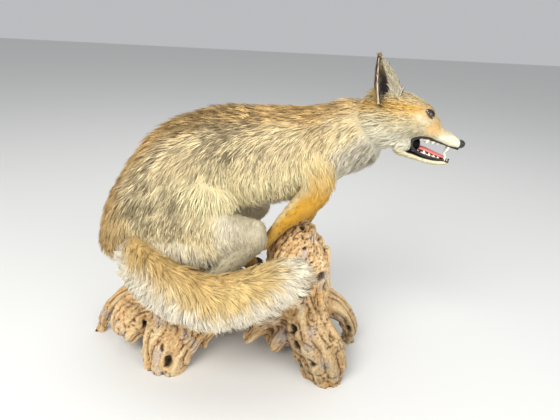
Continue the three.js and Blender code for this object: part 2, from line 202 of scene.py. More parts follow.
# ball: latitude rings between two poles, with its own three radii and a turning matrix of axis columns
def ball(centre, radii, axes=np.eye(3), bands=12, sides=20):
    polar = np.pi * np.arange(1, bands) / bands
    angle = np.arange(sides) * 2 * np.pi / sides
    ring = np.stack(np.broadcast_arrays(-np.cos(polar)[:, None], np.sin(polar)[:, None] * np.cos(angle),
                                        np.sin(polar)[:, None] * np.sin(angle)), -1)
    p = np.concatenate([[[-1, 0, 0]], ring.reshape(-1, 3), [[1, 0, 0]]]) * np.asarray(radii, float)
    return p @ np.asarray(axes).T + np.asarray(centre, float), tubeFaces(bands - 1, sides)


# a tapering tube along a path: round sections of the given radii, pointed or blunt at its ends
def tube(path, radii, sides=8, flat=1.0, side=leftward):
    path, radii = np.asarray(path, float), np.asarray(radii, float)
    along = unit(np.gradient(path, axis=0))
    across = unit(side - along * (along @ side)[:, None])
    back = np.cross(along, across)
    angle = np.arange(sides) * 2 * np.pi / sides
    ring = path[:, None] + radii[:, None, None] * (across[:, None] * np.cos(angle)[None, :, None]
                                                   + flat * back[:, None] * np.sin(angle)[None, :, None])
    ends = [path[0] - along[0] * radii[0] * 0.5, path[-1] + along[-1] * radii[-1] * 0.5]
    return np.concatenate([ends[:1], ring.reshape(-1, 3), ends[1:]]), tubeFaces(len(path), sides)


def together(shapes):  # several (points, faces) as one
    points, faces, start = [], [], 0
    for p, fs in shapes:
        points.append(p)
        faces += [f + start for f in fs]
        start += len(p)
    return np.concatenate(points), faces


def turnMatrix(roll, pitch, yaw):  # roll about x, then pitch about y, then yaw about z, in degrees
    a, b, c = np.radians([roll, pitch, yaw])
    rx = np.array([[1, 0, 0], [0, np.cos(a), -np.sin(a)], [0, np.sin(a), np.cos(a)]])
    ry = np.array([[np.cos(b), 0, np.sin(b)], [0, 1, 0], [-np.sin(b), 0, np.cos(b)]])
    rz = np.array([[np.cos(c), -np.sin(c), 0], [np.sin(c), np.cos(c), 0], [0, 0, 1]])
    return rz @ ry @ rx


headAt = np.array(headPlace["at"], float)
headTurn = turnMatrix(headPlace["roll"], headPlace["pitch"], headPlace["yaw"])


def fromHead(p):  # head frame to animal's frame: turn, then move
    return np.asarray(p, float) @ headTurn.T + headAt


def toHead(p):  # and back again
    return (p - headAt) @ headTurn


# the animal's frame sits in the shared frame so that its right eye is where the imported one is
low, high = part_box("eye_right")
shift = (np.array(low) + np.array(high)) / 2 - fromHead([0, -eye["out"], 0]) * mm


def eyeFrame(sign):  # gaze, towards the inner corner, towards the upper lid
    gaze = unit(np.array([0.42, sign * 0.88, 0.2]))
    inner = np.array([np.cos(np.radians(25)), 0, -np.sin(np.radians(25))])
    inner = unit(inner - gaze * (inner @ gaze))
    above = np.cross(gaze, inner) * -sign
    return gaze, inner, above * np.sign(above[2])


def newPiece(name, points, faces, material=None, smooth=True):
    mesh = bpy.data.meshes.new(name)
    loops = np.concatenate([f.ravel() for f in faces]).astype(np.int32)
    sizes = np.concatenate([np.full(len(f), f.shape[1]) for f in faces])
    starts = np.concatenate([[0], np.cumsum(sizes)[:-1]]).astype(np.int32)
    mesh.vertices.add(len(points))
    mesh.vertices.foreach_set("co", (np.asarray(points) * mm + shift).astype(np.float32).ravel())
    mesh.loops.add(len(loops))
    mesh.loops.foreach_set("vertex_index", loops)
    mesh.polygons.add(len(starts))
    mesh.polygons.foreach_set("loop_start", starts)
    mesh.update(calc_edges=True)
    mesh.validate()
    if smooth:
        mesh.polygons.foreach_set("use_smooth", np.ones(len(mesh.polygons), bool))
    piece = bpy.data.objects.new(name, mesh)
    bpy.context.scene.collection.objects.link(piece)
    if material:
        mesh.materials.append(material)
    return piece


def readPoints(piece):
    co = np.zeros(len(piece.data.vertices) * 3, np.float32)
    piece.data.vertices.foreach_get("co", co)
    return (co.reshape(-1, 3) - shift) / mm


def writePoints(piece, points):
    piece.data.vertices.foreach_set("co", (points * mm + shift).astype(np.float32).ravel())
    piece.data.update()


def readNormals(piece):
    n = np.zeros(len(piece.data.vertices) * 3, np.float32)
    piece.data.vertices.foreach_get("normal", n)
    return n.reshape(-1, 3).astype(float)


def paint(piece, name, colours):  # a colour at each point, as an attribute the material reads
    layer = piece.data.color_attributes.new(name, "FLOAT_COLOR", "POINT")
    rgba = np.concatenate([colours, np.ones((len(colours), 1))], 1).astype(np.float32)
    layer.data.foreach_set("color", rgba.ravel())


def dressed(piece, material, name, colours):  # a remeshed piece gets its material and colours
    piece.data.materials.clear()
    piece.data.materials.append(material)
    paint(piece, name, colours)
    piece.data.polygons.foreach_set("use_smooth", np.ones(len(piece.data.polygons), bool))


def applyModifiers(piece):
    graph = bpy.context.evaluated_depsgraph_get()
    made = bpy.data.meshes.new_from_object(piece.evaluated_get(graph))
    piece.modifiers.clear()
    piece.data = made
    return piece


def remeshed(piece, voxel):
    m = piece.modifiers.new("remesh", "REMESH")
    m.mode = "VOXEL"
    m.voxel_size = voxel * mm
    m.use_smooth_shade = True
    return applyModifiers(piece)


# every point moves part of the way to the mean of its neighbours, as often as asked
def smoothedPoints(piece, times, share=0.5):
    edges = np.zeros(len(piece.data.edges) * 2, np.int32)
    piece.data.edges.foreach_get("vertices", edges)
    a, b = edges.reshape(-1, 2).T
    p = readPoints(piece)
    share = np.broadcast_to(share, len(p))[:, None]
    count = np.bincount(np.concatenate([a, b]), minlength=len(p))[:, None]
    for _ in range(times):
        near = [np.bincount(a, p[b, i], len(p)) + np.bincount(b, p[a, i], len(p)) for i in range(3)]
        p = p + (np.stack(near, 1) / np.maximum(count, 1) - p) * share
    return p


def relaxed(piece, times, share=0.5):
    writePoints(piece, smoothedPoints(piece, times, share))


def finishPiece(piece, slot, *nodes):
    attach(piece, "root")
    if nodes:
        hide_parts(*nodes)
    return piece


def mirroredRows(rows):
    return [[x, -y, z, *size] for x, y, z, *size in rows]


# the body's parts: rows, how deep the coat lies on them from end to end, and how far the ends bulge
parts = {
    "spine": {"rows": spineRows, "depth": [11, 12, 14, 16, 17, 15, 14, 13, 12, 16, 28], "domes": (26, 18)},
    "head": {"rows": headRows, "depth": [7, 6, 6, 5, 4, 3, 2, 1.6, 1.5], "domes": (10, 5), "inHead": True},
    "jaw": {"rows": jawRows, "depth": [3.5, 2, 1.5, 1.2, 1.2], "domes": (6, 5), "inHead": True},
    "tail": {"rows": tailRows, "depth": [12, 17, 21, 24, 24, 24, 22, 20], "domes": (10, 22), "up": upward},
}
for side, turn in (("Right", lambda rows: rows), ("Left", mirroredRows)):
    parts["thigh" + side] = {"rows": turn(thighRows), "depth": [10, 12, 12, 8, 4], "domes": (30, 16)}
    parts["shank" + side] = {"rows": turn(shankRows), "depth": [4, 4, 4, 3], "domes": (14, 10)}
    parts["hindPaw" + side] = {"rows": turn(hindPawRows), "depth": 2.5, "domes": (5, 8)}
    parts["upperArm" + side] = {"rows": armRows[side]["upper"], "depth": [10, 8, 5], "domes": (14, 10)}
    parts["forearm" + side] = {"rows": armRows[side]["forearm"], "depth": [5, 4, 3, 3], "domes": (14, 10)}
    parts["forePaw" + side] = {"rows": armRows[side]["paw"], "depth": 2.5, "domes": (5, 8)}


# four toes fan out past a paw's last section; each is a ball drawn out along the foot
def toeFrames(rows):
    last = np.array([len(rows) - 1.0])
    s = rowsAt(rows, last)[0]
    along, across, back = (v[0] for v in framesAt(rows, last))
    for place in (-1.5, -0.5, 0.5, 1.5):
        reach = toe["length"] * (0.35 if abs(place) > 1 else 0.8)
        centre = s[:3] + across * place * s[3] * 0.52 + along * reach - back * s[5] * 0.3
        yield centre, np.stack([along, across, back], 1)


def bodyShape(name):
    part = parts[name]
    points, faces = loft(part["rows"], part["depth"], part["domes"], up=part.get("up"))
    return (fromHead(points), faces) if part.get("inHead") else (points, faces)


# where points lie on a part: place along it 0..1, angle round it, distance from its middle line as a
# share of its own half size, and the directions along, across and to the back there
def lieOn(part, p):
    rows = np.asarray(part["rows"], float)
    last = len(rows) - 1
    q = toHead(p) if part.get("inHead") else p
    u = np.linspace(0, last, last * 8 + 1)
    s = rowsAt(rows, u)
    near = ((s[:, :3] ** 2).sum(1) - 2 * q @ s[:, :3].T).argmin(1)
    along, across, back = (v[near] for v in framesAt(rows, u, part.get("up")))
    depth = np.interp(u, np.linspace(0, last, np.size(part["depth"])), np.atleast_1d(part["depth"]))[near]
    s = s[near]
    r = q - s[:, :3]
    a, b, e = ((r * v).sum(1) for v in (across, back, along))
    a = a / (s[:, 3] - depth)
    b = b / (np.where(b > 0, s[:, 4], s[:, 5]) - depth)
    before, beyond = (near == 0) & (e < 0), (near == len(u) - 1) & (e > 0)
    e = np.where(before, e / part["domes"][0], np.where(beyond, e / part["domes"][1], 0))
    far = np.sqrt(a * a + b * b + e * e)
    if part.get("inHead"):
        along, across, back = (v @ headTurn.T for v in (along, across, back))
    return {"u": u[near] / last, "angle": np.arctan2(b, a), "far": far, "along": along, "across": across,
            "back": back, "size": (s[:, 3] + s[:, 4]) / 2}


def shares(lies, spread=0.13):  # how much of each point belongs to each part
    fars = [lie["far"] for lie in lies]
    w = np.stack([np.exp(-((np.maximum(far, 1) - 1) / spread) ** 2) + 1e-9 * np.exp(-far) for far in fars])
    return w / w.sum(0)


# one skin for all the flesh; face and paws are smoothed and thinned less than the body
skinMake = {"voxel": 1.5, "bodySmoothings": 60, "allSmoothings": 3, "keptShare": 0.3, "faceReach": 160}
mound = {"rise": 8.2, "half": 11.5, "most": 9}
bodyShapes = [bodyShape(name) for name in parts]
toeRadii = np.array([1.5, 0.85, 0.95]) * (toe["radius"] - 1.2)
for name in parts:
    if "Paw" in name:
        bodyShapes += [ball(c, toeRadii, axes) for c, axes in toeFrames(parts[name]["rows"])]
# the loose hide of the flank runs on over each thigh, without a furrow between them
flankRows = [[-226, -52, 300, 24, 30, 30], [-180, -55, 308, 28, 40, 40], [-130, -54, 306, 27, 40, 40],
             [-92, -50, 298, 22, 34, 30]]
hemRows = [[-196, -70, 232, 18, 26, 26], [-150, -80, 230, 16, 28, 26], [-104, -80, 232, 14, 26, 22]]
for rows, domes in ((flankRows, (20, 12)), (hemRows, (16, 10))):
    bodyShapes += [loft(rows, 0, domes), loft(mirroredRows(rows), 0, domes)]
for sign in (-1, 1):  # the cheeks close the corners of the mouth
    points, faces = ball([-20, sign * 22, -49], [11.8, 8, 11])
    bodyShapes.append((fromHead(points), faces))
skin = newPiece("skin", *together(bodyShapes))
remeshed(skin, skinMake["voxel"])
p = readPoints(skin)
facePart = ramp(toHead(p)[:, 0], -36, -14) * (np.linalg.norm(p - headAt, axis=1) < skinMake["faceReach"])
isPaw = np.array(["Paw" in name for name in parts])
pawPart = shares([lieOn(part, p) for part in parts.values()])[isPaw].sum(0)
fine = np.maximum(facePart, pawPart)
relaxed(skin, skinMake["bodySmoothings"], 0.5 * (1 - fine))
relaxed(skin, skinMake["allSmoothings"], 0.5)
print("skin shaped:", len(p), "points")

# swellings and hollows of the face, each a bell round a point of the head, pushed out along the skin
faceForms = [
    ((3, 23, 12), 8, 2.4), ((-8, 30, 9), 7, 1.6), ((12, 21, 3), 6, -1.8), ((2, 34, -9), 9, -1.6),
    ((-18, 40, -16), 16, 2.2), ((-2, 0, 20), 10, -1.6), ((-30, 0, 30), 14, 1.5), ((46, 12, -30), 9, 1.8),
    ((30, 16, -30), 10, 1.0), ((30, 9, -12), 8, -1.0), ((46, 0, -58), 8, 0.8), ((22, 0, -68), 12, 0.8),
]
p, n = readPoints(skin), readNormals(skin)
q = toHead(p)
push = np.zeros(len(p))
for (x, y, z), size, amount in faceForms:
    for sign in ((1,) if y == 0 else (1, -1)):
        push += amount * np.exp(-((q - [x, sign * y, z]) ** 2).sum(1) / size ** 2)
p = p + n * push[:, None]
# the skin rises to each eye as a low mound, so that only the ball's front shows between the lids
for sign in (-1, 1):
    gaze, inner, above = eyeFrame(sign)
    r = toHead(p) - [0, sign * eye["out"], 0]
    out, off = r @ gaze, np.hypot(r @ inner, r @ above)
    swell = mound["rise"] * np.exp(-(off / mound["half"]) ** 2) - out * np.exp(-(off / 14) ** 2)
    add = np.clip(swell, 0, mound["most"]) * ramp(out, -10, -5)
    p = p + add[:, None] * (gaze @ headTurn.T)
writePoints(skin, p)

group = skin.vertex_groups.new(name="thin")
for share in (0.0, 0.35, 0.7, 1.0):
    chosen = np.where(np.abs((1 - fine) - share) <= 0.175)[0]
    group.add(chosen.tolist(), share, "REPLACE")
thin = skin.modifiers.new("thin", "DECIMATE")
thin.ratio = skinMake["keptShare"]
thin.vertex_group = "thin"
thin.vertex_group_factor = 1.0
applyModifiers(skin)
skin.vertex_groups.clear()
print("skin thinned:", sum(len(f.vertices) - 2 for f in skin.data.polygons), "triangles")

# markings and lie of the coat: the same rules colour the skin and the tufts
straw, cream, white = tone(0.90, 0.82, 0.64), tone(0.94, 0.88, 0.69), tone(0.92, 0.89, 0.79)
tawny, ochre, rust = tone(0.77, 0.61, 0.35), tone(0.86, 0.65, 0.23), tone(0.68, 0.47, 0.23)
brown, grey, olive = tone(0.33, 0.25, 0.16), tone(0.80, 0.74, 0.59), tone(0.62, 0.50, 0.26)
names = list(parts)

# hair from end to end of each part: length in millimetres, lift off the skin in degrees
hair = {
    "spine": {"length": [28, 30, 33, 36, 34, 30, 28, 27, 25, 22, 18],
              "lift": [20, 20, 20, 24, 22, 17, 15, 15, 15, 14, 12]},
    "thigh": {"length": [26, 28, 26, 17, 11], "lift": [18, 18, 17, 14, 12]},
    "shank": {"length": [11, 9, 8, 7], "lift": [14, 12]},
    "paw": {"length": [7, 5, 4], "lift": [12, 12]},
    "arm": {"length": [20, 16, 12], "lift": [16, 13]},
    "forearm": {"length": [12, 10, 8, 6], "lift": [14, 12]},
    "tail": {"length": [30, 40, 46, 48, 48, 46, 39, 21], "lift": [20, 26, 29, 30, 30, 29, 27, 22]},
    "jaw": {"length": [7, 5, 3.4, 2.6, 2], "lift": [10, 10]},
}


def blend(table, u):  # a value given from end to end of a part
    return np.interp(u, np.linspace(0, 1, len(table)), table)


def hairAlong(kind, lie):  # length and lift at each place of a part
    return blend(hair[kind]["length"], lie["u"]), blend(hair[kind]["lift"], lie["u"])


def evenly(amount, lie):  # the same amount at every point
    return np.full(len(lie["u"]), amount)


def turned(along, down, degrees):  # a direction between along and down
    a = np.radians(degrees)[:, None]
    return along * np.cos(a) + down * np.sin(a)


# marks that run over flank and haunch alike, by their place seen from the side
def sideMarks(p):
    x, z = p[:, 0], p[:, 2]
    band = np.interp(x, [-215, -200, -178, -150, -104, -59, -20], [340, 362, 396, 419, 432, 434, 430])
    dashes = hill(z - band, 0, 13) * ramp(x, -235, -205) * ramp(-x, 5, 45)
    saddle = np.exp(-((x + 84) / 34) ** 2 - ((z - 404) / 24) ** 2)
    haunch = np.exp(-(np.abs(x + 192) / 62) ** 3 - (np.abs(z - 304) / 44) ** 3)
    pale = np.exp(-((x + 68) / 40) ** 2 - ((z - 322) / 42) ** 2)
    hem = ramp(-z - 0.35 * x, -208, -186) * ramp(x, -235, -150)
    return dashes, saddle, haunch, pale, np.maximum(hem, ramp(x, -115, -85) * ramp(-z, -310, -285))


def sideColour(colour, dark, p):
    dashes, saddle, haunch, pale, hem = sideMarks(p)
    colour = mix(colour, grey, 0.55 * haunch)
    colour = mix(colour, cream, 0.7 * pale)
    colour = mix(colour, white, 0.9 * hem)
    colour = colour * (1 - 0.10 * np.maximum(saddle, haunch))[:, None]
    dark = dark + 0.65 * dashes + 0.7 * saddle + 0.44 * haunch
    return colour, dark * (1 - 0.8 * pale) * (1 - 0.85 * hem)


def onSpine(lie, p, n):
    side = np.sin(lie["angle"])
    down = np.broadcast_to(-upward, p.shape)
    x = p[:, 0]
    flank = np.interp(side, [-1, -0.3, 0.3, 0.75, 1], [118, 98, 62, 18, 0])
    rump = np.interp(side, [-1, 0, 0.6, 1], [80, 55, 25, 5])
    neck = np.interp(side, [-1, -0.4, 0.3, 1], [48, 34, 12, 0])
    degrees = np.where(x < -60, rump + (flank - rump) * ramp(x, -170, -80), flank)
    degrees = degrees + (neck - degrees) * ramp(x, 60, 125)
    flow = turned(-lie["along"], down, degrees)
    length, lift = hairAlong("spine", lie)
    length = length * np.interp(side, [-1, 0, 1], [1.15, 1, 0.85])
    lift = lift * np.interp(side, [-1, 0.3, 1], [1, 0.85, 1.15])
    fringe = ramp(-n[:, 2], 0.1, 0.6) * ramp(x, -130, -95) * ramp(-x, -75, -20)
    length, lift = length + 8 * fringe, lift + 32 * fringe
    colour = mix(straw, cream, ramp(-side, -0.45, 0.3))
    colour = mix(colour, tawny, 0.8 * ramp(side, 0.62, 0.92) * (1 - 0.25 * ramp(x, 60, 120)))
    colour = mix(colour, grey, 0.4 * hill(side, 0.28, 0.25) * ramp(-x, -60, 10))
    colour = mix(colour, tawny, 0.7 * ramp(-x, 222, 262))
    colour = mix(colour, white, ramp(-side, 0.55, 0.85))
    colour = mix(colour, tone(0.80, 0.78, 0.72), 0.85 * ramp(x, 62, 95) * ramp(-side, -0.35, 0.1))
    colour = mix(colour, tawny, 0.35 * np.exp(-((x - 54) / 22) ** 2 - ((p[:, 2] - 432) / 24) ** 2))
    colour = mix(colour, olive, 0.35 * ramp(x, 130, 160) * ramp(side, 0.0, 0.6))
    dark = 0.12 + 0.2 * ramp(side, 0.75, 0.95) + 0.14 * ramp(x, 85, 130) * ramp(-side, -0.2, 0.5)
    dark = dark + 0.25 * np.exp(-((x - 55) / 20) ** 2 - ((p[:, 2] - 437) / 16) ** 2)
    colour, dark = sideColour(colour, dark, p)
    return flow, length, lift, colour, dark


def onThigh(lie, p, n):
    side = np.sin(lie["angle"])
    x = p[:, 0]
    down = np.broadcast_to(-upward, p.shape)
    back = np.broadcast_to(np.array([-1.0, 0, 0]), p.shape)
    degrees = np.interp(side, [-1, -0.3, 0.5, 1], [98, 88, 66, 50]) + 28 * ramp(x, -150, -90)
    flow = turned(back, down, degrees)
    length, lift = hairAlong("thigh", lie)
    hem = ramp(-n[:, 2], 0.05, 0.6) * ramp(-x, 70, 92) * ramp(x, -215, -180)
    length, lift = length + 14 * hem, lift + 38 * hem
    colour = mix(mix(straw, cream, 0.35), tawny, 0.5 * ramp(-x, 215, 250))
    colour, dark = sideColour(colour, evenly(0.12, lie), p)
    colour = mix(colour, tone(0.80, 0.76, 0.65), 0.9 * ramp(x, -88, -66))
    return flow, length, lift, colour, dark


def onShank(lie, p, n):
    length, lift = hairAlong("shank", lie)
    colour = mix(tone(0.79, 0.75, 0.63), grey, 0.35 * ramp(lie["u"], 0.2, 0.9))
    return lie["along"] - 0.25 * upward, length, lift, colour, evenly(0.2, lie)


def onPaw(lie, p, n):
    length, lift = hairAlong("paw", lie)
    return lie["along"], length, lift, mix(olive, ochre, evenly(0.45, lie)), evenly(0.35, lie)


def onArm(lie, p, n):
    length, lift = hairAlong("arm", lie)
    side = np.sin(lie["angle"])
    colour = mix(mix(cream, ochre, 0.35 + 0.4 * lie["u"]), cream, 0.7 * ramp(-side, 0.2, 0.8))
    return lie["along"] - 0.2 * upward, length, lift, colour, evenly(0.12, lie)


def onForearm(lie, p, n):
    side = np.sin(lie["angle"])
    length, lift = hairAlong("forearm", lie)
    length = length * np.interp(side, [-1, 1], [1.25, 0.9])
    colour = mix(ochre, rust, 0.25 * ramp(side, -0.2, 0.7))
    colour = mix(colour, cream, 0.65 * ramp(-side, 0.45, 0.9))
    colour = mix(colour, brown, 0.7 * np.exp(-((p - [40, -92, 322]) ** 2).sum(1) / 9 ** 2))
    return lie["along"], length, lift, colour, evenly(0.12, lie)


# over the tail's outer side the hair fans from behind the root to ahead of the tip
def onTail(lie, p, n):
    side = np.sin(lie["angle"])
    outer = ramp(-np.cos(lie["angle"]), -0.2, 0.3)
    fan = np.interp(lie["u"] * 7, [0, 1, 2, 3, 4, 5, 6, 7], [-0.7, -0.95, -0.8, -0.4, 0.1, 0.5, 0.75, 0.9])
    hang = unit(-upward + fan[:, None] * lie["along"])
    ridge = lie["along"] - 0.35 * lie["across"]
    ahead = (ramp(side, 0.45, 0.95) * 0.9)[:, None]
    flow = ridge * ahead + hang * (1 - ahead)
    inner = lie["along"] - 0.5 * upward
    flow = flow * outer[:, None] + inner * (1 - outer[:, None])
    tip = ramp(lie["u"], 0.88, 1.0)[:, None]
    flow = flow * (1 - tip) + (0.9 * lie["along"] - 0.3 * upward) * tip
    length, lift = hairAlong("tail", lie)
    length = length * np.interp(side, [-1, 0, 0.6, 1], [1.05, 1, 0.75, 0.6])
    lift = lift * np.interp(side, [-1, 0.2, 1], [1.15, 1, 0.6])
    cap = ramp((n * lie["along"]).sum(1), 0.35, 0.9) * ramp(lie["u"], 0.9, 1.0)
    lift = lift + 42 * cap
    middleShare = hill(lie["u"], 0.62, 0.2)
    golden = ramp(side, 0.5 - 0.55 * middleShare, 1.0 - 0.4 * middleShare)
    golden = golden * (1 - 0.85 * ramp(lie["u"], 0.78, 0.92))
    colour = mix(tone(0.89, 0.85, 0.76), tone(0.83, 0.71, 0.47), golden)
    colour = mix(colour, tawny, 0.45 * ramp(side, 0.7, 0.95) * (1 - ramp(lie["u"], 0.55, 0.75)))
    colour = mix(colour, grey, 0.35 * ramp(-side, 0.2, 0.8))
    colour = mix(colour, tone(0.95, 0.91, 0.80), 0.85 * ramp(lie["u"], 0.82, 0.95))
    colour = colour * (1 - 0.05 * ramp(-side, -0.3, 0.3))[:, None]
    # painted shade: a rust patch low on the outer side of the tail's end, with more dark guard hairs there
    patch = np.exp(-((p - [52, -150, 208]) ** 2).sum(1) / 24 ** 2)
    colour = mix(colour, rust, 0.8 * patch)
    dark = 0.06 + 0.2 * ramp(-side, 0.45, 0.95) + 0.3 * patch + 0.1 * ramp(side, 0.6, 1)
    return flow, length, lift, colour, dark


def onHead(lie, p, n):
    q = toHead(p)
    x, y, z = q[:, 0], np.abs(q[:, 1]), q[:, 2]
    back = -headTurn[:, 0]
    outward = headTurn[:, 1] * np.sign(q[:, 1])[:, None]
    cheek = ramp(-z, 4, 34) * ramp(-x, -26, 6)
    flow = back - (0.75 * cheek + 0.15)[:, None] * headTurn[:, 2]
    flow = flow + (0.3 * ramp(z, -14, 6))[:, None] * outward
    eyeSpan = np.sqrt(x ** 2 + (z * 1.15) ** 2 + (y - 32) ** 2)
    length = np.interp(x, [-84, -50, -20, 0, 14, 30, 60], [19, 15, 10.5, 7.5, 5, 3.4, 2.2])
    length = length * (1 + 0.7 * cheek * ramp(-x, 10, 40)) * (0.38 + 0.62 * ramp(eyeSpan, 8, 24))
    lift = np.interp(x, [-84, -20, 10, 60], [17, 15, 12, 9]) + 4 * cheek
    earAt = np.stack([0 * x - 66, 34 * np.sign(q[:, 1]), 0 * x + 6], 1)
    earRoot = np.exp(-(((q - earAt) / [26, 24, 22]) ** 2).sum(1))
    length, lift = length + 7 * earRoot, lift + 22 * earRoot
    colour = mix(tone(0.84, 0.75, 0.56), tone(0.84, 0.80, 0.67), ramp(-z, 10, 32))
    colour = mix(colour, white, 0.85 * ramp(-z, 26, 44) * ramp(-x, -20, 20))
    band = hill(z - 0.12 * x, 4, 9) * ramp(-x, 2, 16) * ramp(y, 18, 30)
    colour = mix(colour, ochre, 0.75 * band)
    colour = mix(colour, tone(0.90, 0.70, 0.42), 0.75 * hill(x, 17, 11) * hill(z, -17, 13) * ramp(y, 7, 14))
    colour = mix(colour, rust, 0.35 * hill(eyeSpan, 12, 5) * ramp(z, -4, 6))
    colour = mix(colour, white, 0.45 * hill(eyeSpan, 13, 5) * ramp(-z, 0, 7))
    colour = mix(colour, grey, 0.45 * hill(x, -10, 13) * hill(z, -24, 9) * ramp(y, 20, 28))
    colour = mix(colour, white, 0.95 * ramp(x, 20, 34) * ramp(-z + 0.25 * (x - 30), 20, 27))
    colour = mix(colour, olive, 0.5 * ramp(-x, 62, 84) * ramp(z, -22, 0))
    colour = mix(colour, white, 0.7 * ramp(-z, 40, 52))
    dark = 0.07 + 0.22 * ramp(-x, 20, 60) * ramp(z, -30, -5) + 0.1 * hill(x, -10, 13) * hill(z, -24, 9)
    return flow, length, lift, colour, dark


def onJaw(lie, p, n):
    length, lift = hairAlong("jaw", lie)
    flow = np.broadcast_to(-headTurn[:, 0], p.shape)
    return flow, length, lift, mix(cream, white, evenly(0.35, lie)), evenly(0.05, lie)


rules = {"spine": onSpine, "head": onHead, "jaw": onJaw, "tail": onTail, "thigh": onThigh, "shank": onShank,
         "hindPaw": onPaw, "forePaw": onPaw, "upperArm": onArm, "forearm": onForearm}


def kindOf(name):  # a part's name without its side
    return name.replace("Right", "").replace("Left", "")


# the coat at any points: each part's rule, weighed by the part's share of the point
def coatAt(p, n):
    lies = [lieOn(parts[name], p) for name in names]
    share = shares(lies)
    total = [0, 0, 0, 0, 0]
    for name, lie, w in zip(names, lies, share):
        for i, value in enumerate(rules[kindOf(name)](lie, p, n)):
            total[i] = total[i] + (value * w[:, None] if np.ndim(value) == 2 else value * w)
    flow, length, lift, colour, dark = total
    # the crease where the haunch rests on the tail is painted darker, as painted shade
    tail = share[names.index("tail")]
    creaseShade = 4 * tail * (1 - tail) * (p[:, 1] < -30) * ramp(-p[:, 0], -30, 60)
    colour = mix(colour, brown, 0.45 * creaseShade)
    # inside the mouth there is no coat
    q = toHead(p)
    level = n @ headTurn[:, 2]
    x, y, z = q[:, 0], np.abs(q[:, 1]), q[:, 2]
    upperEdge = np.interp(x, [-9, 11, 24, 40, 52, 60], [24, 16.5, 13, 10, 8.3, 5])
    lowerEdge = np.interp(x, [-9, 6, 20, 36, 48, 54], [24, 18, 13.3, 9.8, 6.8, 3])
    roof = ramp(-level, 0.2, 0.5) * ramp(upperEdge - y, -1, 1) * ramp(x, -18, -8) * (z > -50) * (z < -20)
    bed = ramp(level, 0.2, 0.5) * ramp(lowerEdge - y, -1, 1) * share[names.index("jaw")]
    bed = bed * ramp(x, -26, -16) * (z > -66)
    mouth = np.clip(roof * (np.linalg.norm(q, axis=1) < 90) + bed, 0, 1)
    colour = mix(colour, tone(0.16, 0.08, 0.07), mouth)
    # streaks and mottling in two sizes
    mottle = noise(p / 21, 3) * 0.55 + noise(p / 7, 4) * 0.45
    colour = colour * (1 + 0.10 * mottle)[:, None]
    flow = unit(flow - n * (flow * n).sum(1, keepdims=True))
    return {"flow": flow, "length": length, "lift": lift, "colour": colour, "dark": np.clip(dark, 0, 1),
            "mouth": mouth, "zone": share.argmax(0), "lies": lies}


# a material whose colour is an attribute of the piece
def paintedMaterial(name, attribute, roughness, specular=0.5, gloss=0.0, glossRoughness=0.05):
    m = bpy.data.materials.new(name)
    m.use_nodes = True
    b = m.node_tree.nodes["Principled BSDF"]
    b.inputs["Roughness"].default_value = roughness
    b.inputs["Specular IOR Level"].default_value = specular
    b.inputs["Coat Weight"].default_value = gloss
    b.inputs["Coat Roughness"].default_value = glossRoughness
    colourNode = m.node_tree.nodes.new("ShaderNodeAttribute")
    colourNode.attribute_name = attribute
    m.node_tree.links.new(colourNode.outputs["Color"], b.inputs["Base Color"])
    return m


def addNode(material, kind, **settings):  # a shader node, its inputs set by name
    made = material.node_tree.nodes.new("ShaderNode" + kind)
    for name, value in settings.items():
        made.inputs[name].default_value = value
    return made


def addBump(material, height, strength, distance):
    bump = addNode(material, "Bump", Strength=strength, Distance=distance)
    material.node_tree.links.new(height, bump.inputs["Height"])
    shader = material.node_tree.nodes["Principled BSDF"]
    material.node_tree.links.new(bump.outputs["Normal"], shader.inputs["Normal"])


coatMaterial = paintedMaterial("coat", "hair", 0.62, 0.28, 0.0, 0.03)
skinMaterial = paintedMaterial("skinUnderCoat", "hair", 0.62, 0.28, 0.0, 0.03)
grain = addNode(skinMaterial, "TexNoise", Scale=900, Detail=3)
place = addNode(skinMaterial, "TexCoord")
skinMaterial.node_tree.links.new(place.outputs["Object"], grain.inputs["Vector"])
addBump(skinMaterial, grain.outputs["Fac"], 0.5, 0.0012)

p, n = readPoints(skin), readNormals(skin)
coat = coatAt(p, n)
# painted shade: the skin under the coat is darker than the hair's colour, more so where the hair over it is
# long
shadedSkinColour = coat["colour"] * np.where(coat["length"] > 12, 0.72, 0.9)[:, None]
shadedSkinColour = mix(shadedSkinColour, coat["colour"], coat["mouth"])
print("coat laid out")

# tufts: long ones of two rings, finer single ones between them, and the size of the locks they gather in
rng = np.random.default_rng(20)
tufts = {
    "spine": {"long": 34000, "fine": 46000, "lock": 7.5},
    "tail": {"long": 20000, "fine": 22000, "lock": 12},
    "head": {"long": 16000, "fine": 22000, "lock": 4.5},
    "thigh": {"long": 13000, "fine": 16000, "lock": 7},
    "legs": {"long": 8000, "fine": 11000, "lock": 4.5},
}
patchSize = 0.003  # each tuft's patch on the unwrap
mostTriangles = 199000  # in one coat piece


